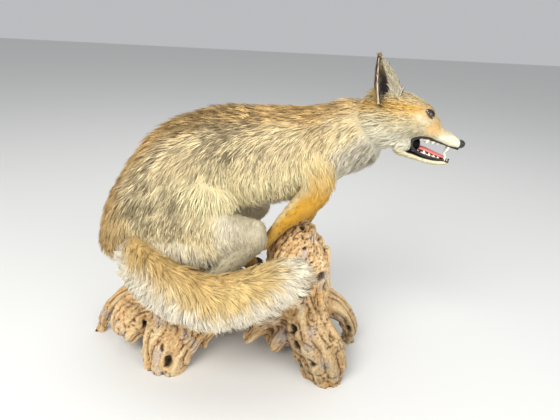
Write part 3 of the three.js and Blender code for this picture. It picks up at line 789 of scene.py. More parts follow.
# each tuft is a flat three-sided blade: rings of left, right and ridge points along a line that leaves
# the skin at the lift angle and bends back towards it, narrowing to a point
def growTufts(root, normal, flow, length, width, lift, base, middle, tip, bend, uv, rings, pull=0.0):
    count = len(root)
    along = np.linspace(0, 1, rings + 1)[:-1] ** 0.9
    steps = np.append(along, 1.0)
    side = unit(np.cross(normal, flow))
    sway = rng.normal(0, 0.09, count)
    points, facing = [], []
    for s in steps:
        out = np.sin(lift) * s * (1 - 0.45 * s) - bend * length * s * s * 0.5
        forth = np.cos(lift) * s
        move = flow * forth[:, None] + normal * out[:, None] + side * (sway * s * s)[:, None]
        line = root + length[:, None] * move + pull * s ** 1.3
        if s == 0:
            line = line - normal * 1.2
        if s == 1:
            points.append(line[:, None])
            facing.append(unit(normal + 0.3 * flow)[:, None])
            continue
        half = (width * 0.5 * (0.75 + 0.9 * s - 1.35 * s * s))[:, None]
        rise = unit(normal * np.cos(lift)[:, None] - flow * np.sin(lift)[:, None])
        points.append(np.stack([line - side * half, line + side * half, line + rise * half * 0.45], 1))
        facing.append(unit(np.stack([normal - 0.6 * side, normal + 0.6 * side, normal + 0.3 * rise], 1)))
    points = np.concatenate(points, 1)
    each = rings * 3 + 1
    faces = [[2, 1, 0]]
    for r in range(rings - 1):
        a, b = r * 3, r * 3 + 3
        for i in range(3):
            j = (i + 1) % 3
            faces += [[a + i, a + j, b + j], [a + i, b + j, b + i]]
    a = (rings - 1) * 3
    faces += [[a + i, a + (i + 1) % 3, each - 1] for i in range(3)]
    faces = np.array(faces)
    starts = (np.arange(count) * each)[:, None, None]
    share = np.concatenate([np.repeat(steps[:-1], 3), [1.0]])
    shade = mix(base[:, None], middle[:, None], np.broadcast_to(ramp(share, 0.0, 0.55), (count, each)))
    shade = mix(shade, tip[:, None], np.broadcast_to(ramp(share, 0.5, 1.0), (count, each)))
    across = np.concatenate([np.tile([0.0, 1.0, 0.5], rings), [0.5]])
    patch = np.stack([across - 0.5, share - 0.5], 1) * patchSize
    onChart = np.clip(uv[:, None] + patch, 0.001, 0.999).reshape(-1, 2)
    allFaces, facing = (faces + starts).reshape(-1, 3), np.concatenate(facing, 1).reshape(-1, 3)
    return points.reshape(-1, 3), allFaces, shade.reshape(-1, 3), onChart, facing


# a coat piece shades by the skin's own direction at each root, so that the coat looks soft
def newCoatPiece(name, points, faces, shade, uv, facing):
    piece = newPiece(name, points, [faces], coatMaterial)
    paint(piece, "hair", shade)
    layer = piece.data.uv_layers.new(name="OFBake")
    loops = np.zeros(len(piece.data.loops), np.int32)
    piece.data.loops.foreach_get("vertex_index", loops)
    layer.data.foreach_set("uv", uv[loops].astype(np.float32).ravel())
    piece.data.normals_split_custom_set_from_vertices(facing.astype(np.float32))
    return finishPiece(piece, "coat")


def scatter(faceIndex, tri, count, weight):  # points spread over triangles by their weight
    chance = np.cumsum(weight[faceIndex])
    pick = faceIndex[np.searchsorted(chance, rng.random(count) * chance[-1])]
    a, b = rng.random(count), rng.random(count)
    a, b = np.where(a + b > 1, 1 - a, a), np.where(a + b > 1, 1 - b, b)
    return tri[pick], np.stack([1 - a - b, a, b], 1)


# hair gathers in locks: roots in one cell of a warped grid share a number and a middle
def locksOf(root, size):
    warp = np.stack([noise(root / size, 20 + i) for i in range(3)], 1)
    cell = np.floor(root / size + 0.5 * warp).astype(int)
    which = np.unique(cell, axis=0, return_inverse=True)[1].ravel()
    number = np.bincount(which)
    middle = np.stack([np.bincount(which, root[:, i]) for i in range(3)], 1) / number[:, None]
    return which, middle[which]


def triangles(piece):
    piece.data.calc_loop_triangles()
    t = np.zeros(len(piece.data.loop_triangles) * 3, np.int32)
    piece.data.loop_triangles.foreach_get("vertices", t)
    return t.reshape(-1, 3)


tri = triangles(skin)
corner = p[tri]
area = np.linalg.norm(np.cross(corner[:, 1] - corner[:, 0], corner[:, 2] - corner[:, 0]), axis=1) / 2
q = toHead(corner.mean(1))
bare = np.linalg.norm((q - [62, 0, -28]) / [7.5, 9, 7.5], axis=1) < 1.05
for sign in (-1, 1):  # nothing grows within the lids
    gaze, inner, above = eyeFrame(sign)
    r = q - [0, sign * eye["out"], 0]
    a, b = r @ inner, r @ above
    almond = np.where(b > 0, lid["upper"], lid["lower"]) * (1 - (a / lid["half"]) ** 2) + 1.1
    bare |= (np.abs(b) < almond) & (np.abs(a) < lid["half"]) & (r @ gaze > 0)
kinds = np.array([kindOf(name) for name in names])
zone = kinds[coat["zone"][tri[:, 0]]]
groups = {"spine": zone == "spine", "tail": zone == "tail", "head": np.isin(zone, ["head", "jaw"]),
          "thigh": zone == "thigh"}
groups["legs"] = ~np.any(list(groups.values()), axis=0)
faceLength = coat["length"][tri].mean(1)
faceMouth = coat["mouth"][tri].max(1)


def chartOf(c):  # place on the unwrap: along the part and round it, one cell for each part present
    out = np.zeros((len(c["zone"]), 2))
    present = sorted(set(c["zone"].tolist()))
    cells = int(np.ceil(np.sqrt(len(present))))
    for k, z in enumerate(present):
        here = c["zone"] == z
        lie = c["lies"][z]
        place = np.stack([lie["u"][here], lie["angle"][here] / (2 * np.pi) + 0.5], 1) * 0.97 + 0.015
        out[here] = (place + [k % cells, k // cells]) / cells
    return out


for kind, chosen in groups.items():
    faceIndex = np.where(chosen)[0]
    crowding = 0.8 if kind in ("head", "legs") else 0.25  # short hair stands closer
    weight = area * np.where(bare | (faceMouth > 0.3), 0, 1) / np.clip(faceLength, 3.5, 40) ** crowding
    count = tufts[kind]["long"] + tufts[kind]["fine"]
    pick, bary = scatter(faceIndex, tri, count, weight)
    root = (p[pick] * bary[..., None]).sum(1)
    normal = unit((n[pick] * bary[..., None]).sum(1))
    c = coatAt(root, normal)
    which, lockMiddle = locksOf(root, tufts[kind]["lock"])
    lockDraw = rng.normal(0, 1, (4, which.max() + 1)).clip(-2, 2)[:, which]
    fine = np.arange(count) >= tufts[kind]["long"]
    # direction, length and lift each vary slowly over the skin, from lock to lock and from tuft to tuft
    waver = 11 * noise(root / 34, 11) + 9 * lockDraw[0] + rng.normal(0, 5, count)
    turn = np.radians(waver)[:, None]
    flow = unit(c["flow"] * np.cos(turn) + np.cross(normal, c["flow"]) * np.sin(turn))
    varied = 1 + 0.12 * noise(root / 9, 13) + 0.10 * lockDraw[1] + rng.normal(0, 0.10, count)
    length = c["length"] * varied.clip(0.5, 1.5) * np.where(fine, 0.72, 1)
    varied = 1 + 0.2 * noise(root / 13, 14) + 0.22 * lockDraw[2] + rng.normal(0, 0.12, count)
    lift = np.radians(c["lift"] * varied.clip(0.2, 2.2))
    width = np.interp(length, [2, 8, 25, 50], [0.55, 0.8, 1.1, 1.3]) * rng.uniform(0.65, 1.35, count)
    guard = (rng.random(count) < c["dark"] * (1 + 0.55 * lockDraw[0])) & ~fine
    width = width * np.where(guard, 1.25, 1)
    # tips lean towards the middle of their lock
    pull = lockMiddle - root
    pull = pull - normal * (pull * normal).sum(1, keepdims=True)
    reach = np.minimum(1, 0.35 * length / np.maximum(np.linalg.norm(pull, axis=1), 1e-6))
    pull = pull * (0.7 * reach)[:, None]
    # hair is dark at its root, partly for the darker underfur and partly as painted shade deep in the coat,
    # and pale at its tip; guard hairs end dark
    grizzle = np.clip(c["dark"] * 2.2, 0.2, 1)
    varied = 1 + rng.normal(0, 0.07, count) + (0.04 + 0.17 * grizzle) * lockDraw[3]
    varied = varied + 0.08 * noise(root / 5, 15)
    own = c["colour"] * varied.clip(0.5, 1.5)[:, None]
    own = mix(own, tawny, 0.2 * rng.random(count) * (kind in ("spine", "thigh")))
    rootUnderfurAndShade = (0.88 if kind == "tail" else 0.76) - 0.54 * np.clip(1.7 * c["dark"] - 0.1, 0, 1)
    darkTip = brown * rng.uniform(0.5, 1.3, count)[:, None]
    tip = np.where(guard[:, None], darkTip, np.minimum(own * 1.15, 0.92))
    middle = np.where(guard[:, None], own * 0.55, own * np.where(fine, 0.88, 1)[:, None])
    base = own * rootUnderfurAndShade[:, None]
    # hair that crosses a round part bends with it
    bend = np.zeros(count)
    for z in set(c["zone"].tolist()):
        here = c["zone"] == z
        lie = c["lies"][z]
        bend[here] = (1 - (flow[here] * lie["along"][here]).sum(1) ** 2) / lie["size"][here] * 0.75
    uv = chartOf(c)
    order = np.argsort(root[:, 0] + (1000 * (root[:, 1] > 0) if kind in ("thigh", "legs") else 0))
    for layer, rings, tuftsHere in (("Coat", 2, order[~fine[order]]), ("Under", 1, order[fine[order]])):
        perPiece = mostTriangles // (rings * 6 - 2)
        for k, part in enumerate(np.array_split(tuftsHere, int(np.ceil(len(tuftsHere) / perPiece)))):
            each = (v[part] for v in (root, normal, flow, length, width, lift, base, middle, tip, bend, uv))
            newCoatPiece(f"{kind}{layer}{k + 1}", *growTufts(*each, rings, pull[part]))
    print(kind, "tufts:", count)

# the head's own pieces, in the head's frame: x to the nose, y left, z up
glassMaterial = paintedMaterial("glassEye", "glass", 0.25, 0.5, 1.0, 0.03)
lidMaterial = paintedMaterial("eyelid", "hair", 0.5)
noseMaterial = paintedMaterial("nosePad", "pad", 0.38, 0.5, 0.35, 0.25)
lipMaterial = paintedMaterial("lips", "lip", 0.48, 0.45, 0.1, 0.3)
liningMaterial = paintedMaterial("mouthLining", "lip", 0.75, 0.15)
toothMaterial = paintedMaterial("teeth", "enamel", 0.3, 0.5, 0.3, 0.15)
tongueMaterial = paintedMaterial("tongue", "flesh", 0.4, 0.5, 0.3, 0.2)
clawMaterial = paintedMaterial("claw", "horn", 0.4)


# glass eye: a ball with a slightly raised cornea; iris and slit pupil painted round its gaze
def eyeball(sign, name):
    gaze, inner, above = eyeFrame(sign)
    axes = np.stack([gaze, inner, above], 1)
    points, faces = ball([0, 0, 0], [1, 1, 1], bands=72, sides=96)
    off = np.hypot(points[:, 1], points[:, 2])
    front = points[:, 0] > 0
    radius = eye["radius"] - 0.35 + 0.35 * np.where(front, np.exp(-(off / 0.45) ** 2), 0)
    iris = mix(tone(0.27, 0.17, 0.08), tone(0.15, 0.09, 0.05), ramp(off, 0.2, 0.62))
    spokes = np.stack([np.arctan2(points[:, 2], points[:, 1]) * 9, off * 3, off * 0], 1)
    iris = iris * (1 + 0.25 * noise(spokes, 5))[:, None]
    pupil = np.sqrt((points[:, 1] / 0.2) ** 2 + (points[:, 2] / 0.42) ** 2)
    colour = mix(tone(0.02, 0.02, 0.025), iris, ramp(pupil, 0.85, 1.1))
    colour = mix(colour, tone(0.05, 0.035, 0.03), np.where(front, ramp(off, 0.58, 0.7), 1))
    points = fromHead(points * radius[:, None] @ axes.T + [0, sign * eye["out"], 0])
    piece = newPiece(name, points, faces, glassMaterial)
    paint(piece, "glass", colour)
    return finishPiece(piece, "glass_eye", name)


# each row of a lid: its place from the inner edge 0 to the outer 1, and how high it stands over the ball
lidRows = [(0.12, 0.0), (0.0, 0.15), (0.0, 0.4), (0.1, 0.65), (0.35, 0.8), (0.7, 0.6), (1.0, -0.2),
           (1.0, -1.6)]


# eyelids: a ring of shell over the ball; its inner edge is an almond of two parabolas that meet at the
# corners, its outer edge goes down into the skin
def eyelids(sign):
    gaze, inner, above = eyeFrame(sign)
    turnCount = 96
    a = np.arange(turnCount) * 2 * np.pi / turnCount
    c, s = np.cos(a), np.sin(a)
    tall = np.where(s > 0, lid["upper"], lid["lower"])
    k = tall * c ** 2 / lid["half"] ** 2
    curved = (-np.abs(s) + np.sqrt(s ** 2 + 4 * k * tall)) / np.maximum(2 * k, 1e-6)
    opening = np.where(k > 1e-4, curved, tall / np.maximum(np.abs(s), 1e-6))
    edge = np.arcsin(np.clip(opening / (eye["radius"] + 0.4), 0, 0.97))
    outer = np.arcsin(np.clip((opening + 3.3) / (eye["radius"] + 0.4), 0, 0.99))
    outward = inner * c[:, None] + above * s[:, None]
    points, shade = [], []
    for place, rise in lidRows:
        polar = (edge + (outer - edge) * place)[:, None]
        ring = (gaze * np.cos(polar) + outward * np.sin(polar)) * (eye["radius"] + 0.02 + rise)
        points.append(ring + [0, sign * eye["out"], 0])
        paleShare = np.full(turnCount, ramp(place, 0.25, 0.7))
        shade.append(mix(tone(0.11, 0.08, 0.07), tone(0.74, 0.60, 0.38), paleShare))
    k = np.arange(turnCount)
    following = (k + 1) % turnCount
    loops = [i * turnCount for i in range(len(lidRows))]
    faces = []
    for i, first in enumerate(loops):
        second = loops[(i + 1) % len(loops)]
        quad = np.stack([first + k, first + following, second + following, second + k], 1)
        faces.append(quad[:, ::-1] if sign > 0 else quad)
    return fromHead(np.concatenate(points)), faces, np.concatenate(shade)


for sign, side in ((-1, "right"), (1, "left")):
    eyeball(sign, "eye_" + side)
    points, faces, shade = eyelids(sign)
    piece = newPiece("eyelids_" + side, points, faces, lidMaterial)
    paint(piece, "hair", shade)
    finishPiece(piece, "coat")

# nose pad: a ball with two nostrils pressed in and turned outwards, and a groove down the middle
nosePad = {"at": (62, 0, -28), "radii": (7.3, 8.8, 7.3)}
points, faces = ball([0, 0, 0], [1, 1, 1], bands=60, sides=80)
x, y, z = points.T
inward = 0.30 * np.exp(-((np.abs(y) - 0.50) / 0.17) ** 2 - ((z + 0.02) / 0.2) ** 2) * (x > 0)
inward += 0.26 * np.exp(-((np.abs(y) - 0.80) / 0.16) ** 2 - ((z + 0.22) / 0.11) ** 2)
inward += 0.09 * np.exp(-(y / 0.06) ** 2) * ramp(x, 0.2, 0.6) * ramp(-z, -0.6, 0.1)
inward -= 0.05 * np.exp(-((np.abs(y) - 0.5) / 0.32) ** 2 - ((z - 0.36) / 0.22) ** 2)
pebbled = 0.012 * noise(points * 9, 7)
shape = points * (1 - inward + pebbled)[:, None]
shape[:, 2] *= np.where(shape[:, 2] > 0, 0.82, 1.0)
# painted shade: the pad is darkest where it is pressed in, most of all in the nostrils
shade = mix(tone(0.12, 0.11, 0.115), tone(0.015, 0.01, 0.01), ramp(inward, 0.08, 0.26))
piece = newPiece("nosePad", fromHead(shape * nosePad["radii"] + nosePad["at"]), faces, noseMaterial)
paint(piece, "pad", shade)
finishPiece(piece, "nose_pad", "nose")


# a smooth line through the points of the right half and back through its mirror image
def bothSides(points, count):
    half = rowsAt(points, np.linspace(0, len(points) - 1, count))
    return np.concatenate([half, half[-2::-1] * [1, -1, 1]])


# lips: dark tubes along the mouth's edges, which meet at the corners
lips = {
    "upper": {"path": [[-9, 25, -47], [-7, 24.5, -40.5], [-1, 21.5, -36.5], [11, 17.2, -33.2],
                       [24, 13.6, -34.2], [40, 10.8, -35.6], [52, 9.0, -36.6], [60, 5, -37], [62, 0, -36]],
              "radii": [2.0, 2.0, 1.7, 1.4, 1.3, 1.2, 1.2, 1.1, 1.1]},
    "lower": {"path": [[-9, 25, -47], [-5, 24.0, -53], [6, 18.5, -58], [20, 13.8, -60], [36, 10.3, -59.8],
                       [48, 7.2, -57.6], [53, 4, -56.5], [54.5, 0, -56]],
              "radii": [2.0, 2.2, 2.1, 1.9, 1.6, 1.4, 1.3, 1.2]},
}
lipShapes = []
for lip in lips.values():
    whole = bothSides(lip["path"], 50)
    radii = blend(lip["radii"], np.linspace(0, 1, 50))
    radii = np.concatenate([radii, radii[-2::-1]]) * (1 + 0.12 * noise(whole / 3.5, 8))
    lipShapes.append(tube(fromHead(whole), radii * 1.12, 10, 0.72, side=headTurn[:, 2]))
points, faces = together(lipShapes)
piece = newPiece("lips", points, faces, lipMaterial)
paint(piece, "lip", np.tile(tone(0.07, 0.055, 0.055), (len(points), 1)))
finishPiece(piece, "mouth_lining")

# mouth: palate above, floor below and the throat behind, painted dark as shade
liningRows = {
    "palate": [[-20, 0, -42, 22, 5, 9], [-4, 0, -37, 20, 6, 4], [12, 0, -33, 16.5, 5, 3],
               [28, 0, -33.5, 12.5, 4, 2.4], [44, 0, -35, 10.0, 3, 2], [55, 0, -35, 7.5, 3, 2]],
    "bed": [[-20, 0, -56, 24, 4, 5], [-4, 0, -59, 22, 3, 4], [16, 0, -61, 15, 2.5, 3],
            [36, 0, -60.5, 10.5, 2.5, 3], [49, 0, -57, 7, 2.5, 3]],
    "throat": [[-30, 0, -49, 20, 8, 8], [-16, 0, -49, 22.5, 10, 9], [-4, 0, -48, 20, 9.5, 9],
               [3, 0, -47, 15, 8, 8]],
}
points, faces = together([loft(rows, 0, (5, 3), 32, 8) for rows in liningRows.values()])
onRoof = (points[:, 2] < -37) & (points[:, 2] > -41)
ridges = 0.5 * np.sin(points[:, 0] * 1.1 + 0.02 * points[:, 1] ** 2) * onRoof
# painted shade: the lining darkens towards the throat at the back; it is also darker towards the roof
shade = mix(tone(0.30, 0.13, 0.12), tone(0.045, 0.03, 0.03), ramp(-points[:, 0], -22, -6))
shade = mix(shade, tone(0.10, 0.05, 0.05), 0.55 * ramp(points[:, 2], -46, -38))
points = points + np.stack([0 * ridges, 0 * ridges, ridges], 1)
piece = newPiece("mouthLining", fromHead(points), faces, liningMaterial)
paint(piece, "lip", shade)
finishPiece(piece, "mouth_lining")

# teeth: each a curved cone, round for canines and flat for cheek teeth, set in a gum ridge
teethRows = {
    "upper": {"rim": -35.5, "down": -1, "canine": (46.5, 8.8, 13.0), "front": (58, 1.6, 4.2),
              "cheek": [(37, 9.4, 3.2), (30, 10.6, 3.6), (22, 12.6, 4.4), (13, 14.6, 6.4), (4, 17.0, 4.2)]},
    "lower": {"rim": -58.5, "down": 1, "canine": (47.0, 6.8, 12.5), "front": (52.5, 1.3, 3.4),
              "cheek": [(37, 8.6, 3.4), (30, 9.8, 4.0), (22.5, 11.4, 4.8), (14, 13.6, 6.6), (5, 16.2, 4.6),
                        (-2, 18.4, 3.6)]},
}


# a cone whose middle line bows forward between its base and its tip
def tooth(base, tip, radius, flat, side):
    t = np.linspace(0, 1, 9)[:, None]
    base, tip = np.array(base, float), np.array(tip, float)
    path = base + (tip - base) * t + np.array([1.0, 0, 0]) * (t * (1 - t)) * np.linalg.norm(tip - base) * 0.32
    radii = radius * np.array([0.9, 1.0, 0.97, 0.88, 0.75, 0.58, 0.40, 0.22, 0.08])
    return tube(path, radii, 12, flat, np.array(side, float))


toothShapes = []
forward, sideways = [1, 0, 0], [0, 1, 0]
for rows in teethRows.values():
    rim, down = rows["rim"], rows["down"]
    for sign in (-1, 1):
        x, y, tall = rows["canine"]
        base, tip = [x, sign * y, rim - down * 2.5], [x - 3.6, sign * (y + 0.6), rim + down * tall]
        toothShapes.append(tooth(base, tip, 2.15, 0.8, forward))
        for k in range(3):
            x, y, tall = rows["front"]
            x, y = x - 0.9 * k, y + 2.5 * k
            base, tip = [x, sign * y, rim - down * 1.5], [x - 0.6, sign * y, rim + down * (tall + 0.6 * k)]
            toothShapes.append(tooth(base, tip, 1.35, 0.8, sideways))
        for x, y, tall in rows["cheek"]:  # a high cusp and a low one behind it
            wide = 1.3 + tall * 0.36
            base, tip = [x, sign * y, rim - down * 1.5], [x - 0.9, sign * y, rim + down * tall]
            toothShapes.append(tooth(base, tip, wide, 0.45, forward))
            base, tip = [x - wide, sign * y, base[2]], [x - wide - 0.6, sign * y, rim + down * tall * 0.55]
            toothShapes.append(tooth(base, tip, wide * 0.62, 0.6, forward))
toothShade = []
for points, faces in toothShapes:
    reach = np.linspace(0, 1, len(points))
    toothShade.append(mix(tone(0.80, 0.70, 0.50), tone(0.93, 0.90, 0.80), ramp(reach, 0.05, 0.5)))
points, faces = together(toothShapes)
piece = newPiece("teeth", fromHead(points), faces, toothMaterial)
paint(piece, "enamel", np.concatenate(toothShade))
finishPiece(piece, "teeth")

gums = []
for rows in teethRows.values():
    rim, down = rows["rim"], rows["down"]
    x, y, tall = rows["front"]
    line = [cheekTooth[:2] for cheekTooth in rows["cheek"][::-1]]
    line += [rows["canine"][:2], (x, y + 4.5), (x + 0.6, 0)]
    whole = bothSides([[x, y, rim - down * 1.2] for x, y in line], 44)
    gums.append(tube(fromHead(whole), 1.9 + 0.25 * noise(whole / 3, 9), 10, side=headTurn[:, 2]))
points, faces = together(gums)
piece = newPiece("gums", points, faces, tongueMaterial)
shade = mix(tone(0.34, 0.16, 0.15), tone(0.16, 0.09, 0.09), ramp(noise(points / 6, 10), -0.2, 0.4))
paint(piece, "flesh", shade)
finishPiece(piece, "mouth_lining")

# tongue: a flattened loft with a groove along its middle and a fine grain
tongueRows = [[-12, 0, -53, 11, 3.6, 4], [10, 0, -52, 10.0, 4.6, 3], [30, 0, -54, 8.6, 4.0, 2.6],
              [44, 0, -55, 6.6, 3.2, 2.2]]
points, faces = loft(tongueRows, 0, (4, 5), 40, 16)
groove = 1.5 * np.exp(-(points[:, 1] / 1.6) ** 2) * (points[:, 2] > -54) - 0.12 * noise(points * 1.6, 6)
points = points - np.stack([0 * groove, 0 * groove, groove], 1)
redShare = np.exp(-(points[:, 1] / 2.2) ** 2) + 0.25 * noise(points / 2, 2)
shade = mix(tone(0.86, 0.46, 0.44), tone(0.70, 0.28, 0.28), redShare)
piece = newPiece("tongue", fromHead(points), faces, tongueMaterial)
paint(piece, "flesh", shade)
finishPiece(piece, "tongue", "tongue")
print("eyes, nose and mouth made")

# claws: curved cones from the toes, each line a parabola that rises a little and then droops
claw = {"start": 6, "length": 13, "radius": 2.3, "rise": 1.2, "droop": 6, "above": 2.5}
clawShapes = []
for name in parts:
    if "Paw" in name:
        for centre, axes in toeFrames(parts[name]["rows"]):
            t = np.linspace(0, 1, 8)[:, None]
            height = claw["above"] + claw["rise"] * t - claw["droop"] * t * t
            path = centre + axes[:, 0] * (claw["start"] + claw["length"] * t) + axes[:, 2] * height
            radii = claw["radius"] * (1 - t[:, 0] ** 1.5) + 0.25
            clawShapes.append(tube(path, radii, 10, 1.3, axes[:, 1]))
points, faces = together(clawShapes)
piece = newPiece("claws", points, faces, clawMaterial)
paint(piece, "horn", tone(0.25, 0.19, 0.13) * (1 + 0.2 * noise(points / 4, 2))[:, None])
finishPiece(piece, "claw")

# ears: an open cup whose width narrows to a tip; the outer shell and the inner are joined at the rim
ear = {"base": (-73, 34, 3), "height": 60, "halfWidth": 31, "cup": 0.75, "thick": 7, "tipThick": 3,
       "back": 16, "splay": 13, "turn": 40, "coat": 1.6}
# the hair of one ear: how much of it, and shortest and longest in millimetres
earHair = {
    "outer": {"count": 2500, "length": (5, 9)}, "inner": {"count": 800, "length": (7, 13)},
    "front": {"count": 1300, "length": (10, 19)}, "foot": {"count": 1000, "length": (11, 20)},
}


# half width at height v = halfWidth * (1 - v ** 1.9) * (1 + v / 4), drawn in a little at the foot
def earHalf(v, less=0.0):
    half = ear["halfWidth"] * (1 - np.maximum(v, 0) ** 1.9) * (1 + 0.25 * v) + less
    return half * (0.84 + 0.16 * ramp(v, 0.0, 0.25))


# u -1..1 round the cup and v 0..1 up it, in the ear's frame: x = cup * (half - radius * cos(1.25 u)),
# y = 0.95 * radius * sin(1.25 u), z = height * v; the inner wall's radius is smaller by the thickness
def earPoints(u, v, inner):
    half = earHalf(v, 2 - ear["coat"] * (1 - v))
    thick = ear["thick"] + (ear["tipThick"] - ear["thick"]) * v - 2.2 * (1 - v)
    radius = half - inner * thick * 0.75
    x = ear["cup"] * (half - radius * np.cos(u * 1.25)) - inner * thick * 0.07
    return np.stack([x, 0.95 * radius * np.sin(u * 1.25), ear["height"] * v - 8 * (1 - v)], -1)


earCoats = []
for sign, side in ((-1, "right"), (1, "left")):
    matrix = turnMatrix(-sign * ear["splay"], -ear["back"], sign * ear["turn"])
    at = np.array(ear["base"]) * [1, sign, 1]
    u, v = np.meshgrid(np.linspace(-1, 1, 33), np.linspace(0, 0.985, 40))
    innerSide, outerSide = earPoints(u, v, 1), earPoints(u, v, 0)
    # the rim is worn and wavy
    wave = 0.8 * np.sin(v * 31 + 1.7 * sign) * np.abs(u) ** 6
    outerSide[..., 0] += wave
    ring = np.concatenate([innerSide, outerSide[:, ::-1]], 1)
    poles = [earPoints(np.array([0.0]), np.array([v0]), 0.5) for v0 in (0.0, 1.0)]
    local = np.concatenate([poles[0], ring.reshape(-1, 3), poles[1]])
    faces = tubeFaces(40, 66)
    rimShare = np.concatenate([np.abs(u) ** 10, np.abs(u[:, ::-1]) ** 10], 1).ravel()
    isInner = np.concatenate([np.ones_like(u), np.zeros_like(u)], 1).ravel()
    high = np.concatenate([v, v], 1).ravel()
    shade = mix(tone(0.26, 0.17, 0.10), tone(0.13, 0.10, 0.09), isInner)
    shade = mix(shade, tone(0.55, 0.44, 0.24), isInner * hill(high, 0.72, 0.12) * 0.8)
    shade = mix(shade, tone(0.88, 0.80, 0.70), rimShare * 0.9)
    shade = mix(shade, tone(0.85, 0.72, 0.62), ramp(high, 0.88, 0.97) * 0.8)
    shade = np.concatenate([shade[:1], shade, shade[-1:]])
    points = fromHead(local @ matrix.T + at)
    piece = newPiece("earShell_" + side, points, faces, skinMaterial)
    paint(piece, "hair", shade)
    finishPiece(piece, "ear_coat", "ear_" + side)
    # short hair outside, long pale hair from the front edge across the opening, and a ruff round the foot
    for part, made in earHair.items():
        count, (least, most) = made["count"], made["length"]
        a, b = rng.uniform(-1, 1, count), rng.random(count) ** 0.8 * 0.97
        if part == "front":
            a = sign * rng.uniform(0.55, 1.0, count) * np.where(rng.random(count) < 0.85, 1, -1) * -1
            b = rng.random(count) * 0.9
        if part == "foot":
            a, b = rng.uniform(-1.0, 1.0, count), rng.uniform(-0.02, 0.16, count)
        face = 0 if part in ("outer", "foot") else 1
        here = earPoints(a, b, face)
        du = earPoints(a + 0.01, b, face) - here
        dv = earPoints(a, b + 0.01, face) - here
        normal = unit(np.cross(du, dv))
        away = np.stack([here[:, 0] - ear["cup"] * earHalf(b), here[:, 1], 0 * b], 1)
        normal = normal * np.sign((normal * away).sum(1, keepdims=True)) * (1 if face == 0 else -1)
        upEar = unit(dv)
        length = rng.uniform(least, most, count)
        if part == "outer":
            flow, lift = upEar, 0.16
            base = mix(tone(0.30, 0.19, 0.10), tone(0.62, 0.48, 0.27), ramp(-b, -0.38, -0.05))
        elif part == "foot":
            flow, lift = unit(upEar + 0.25 * normal), 0.26
            base = mix(tone(0.62, 0.48, 0.27), tone(0.82, 0.74, 0.56), rng.random(count))
        elif part == "inner":
            flow, lift = upEar, 0.35
            base = mix(tone(0.16, 0.13, 0.11), tone(0.6, 0.52, 0.35), ramp(b, 0.5, 0.75) * 0.8)
        else:
            middle = np.array([0, -1.0, 0]) * np.sign(a)[:, None]
            flow, lift = unit(0.75 * upEar + 0.75 * middle + np.array([0.35, 0, 0])), 0.5
            length = length * (1 - 0.4 * b)
            base = tone(0.78, 0.74, 0.63) * rng.uniform(0.5, 1.15, count)[:, None]
        root = fromHead(here @ matrix.T + at)
        normal, flow = (vector @ matrix.T @ headTurn.T for vector in (normal, flow))
        flow = unit(flow - normal * (flow * normal).sum(1, keepdims=True) + rng.normal(0, 0.12, (count, 3)))
        base = base * rng.uniform(0.75, 1.25, count)[:, None]
        column = {"outer": 0, "inner": 0.33, "front": 0.66, "foot": 0}[part]
        uv = np.stack([(a + 1) / 2 * 0.3 + 0.02 + column, b * 0.46 + 0.03 + (0.5 if sign > 0 else 0)], 1)
        width, tip = rng.uniform(0.5, 0.95, count), np.minimum(base * 1.15, 0.9)
        earCoats.append(growTufts(root, normal, flow, length, width, np.full(count, lift),
                                  base * 0.7, base, tip, np.zeros(count), uv, 2))
points, faces = together([(grown[0], [grown[1]]) for grown in earCoats])
rest = (np.concatenate([grown[i] for grown in earCoats]) for i in (2, 3, 4))
newCoatPiece("earCoat", points, np.concatenate(faces), *rest)
print("ears made")

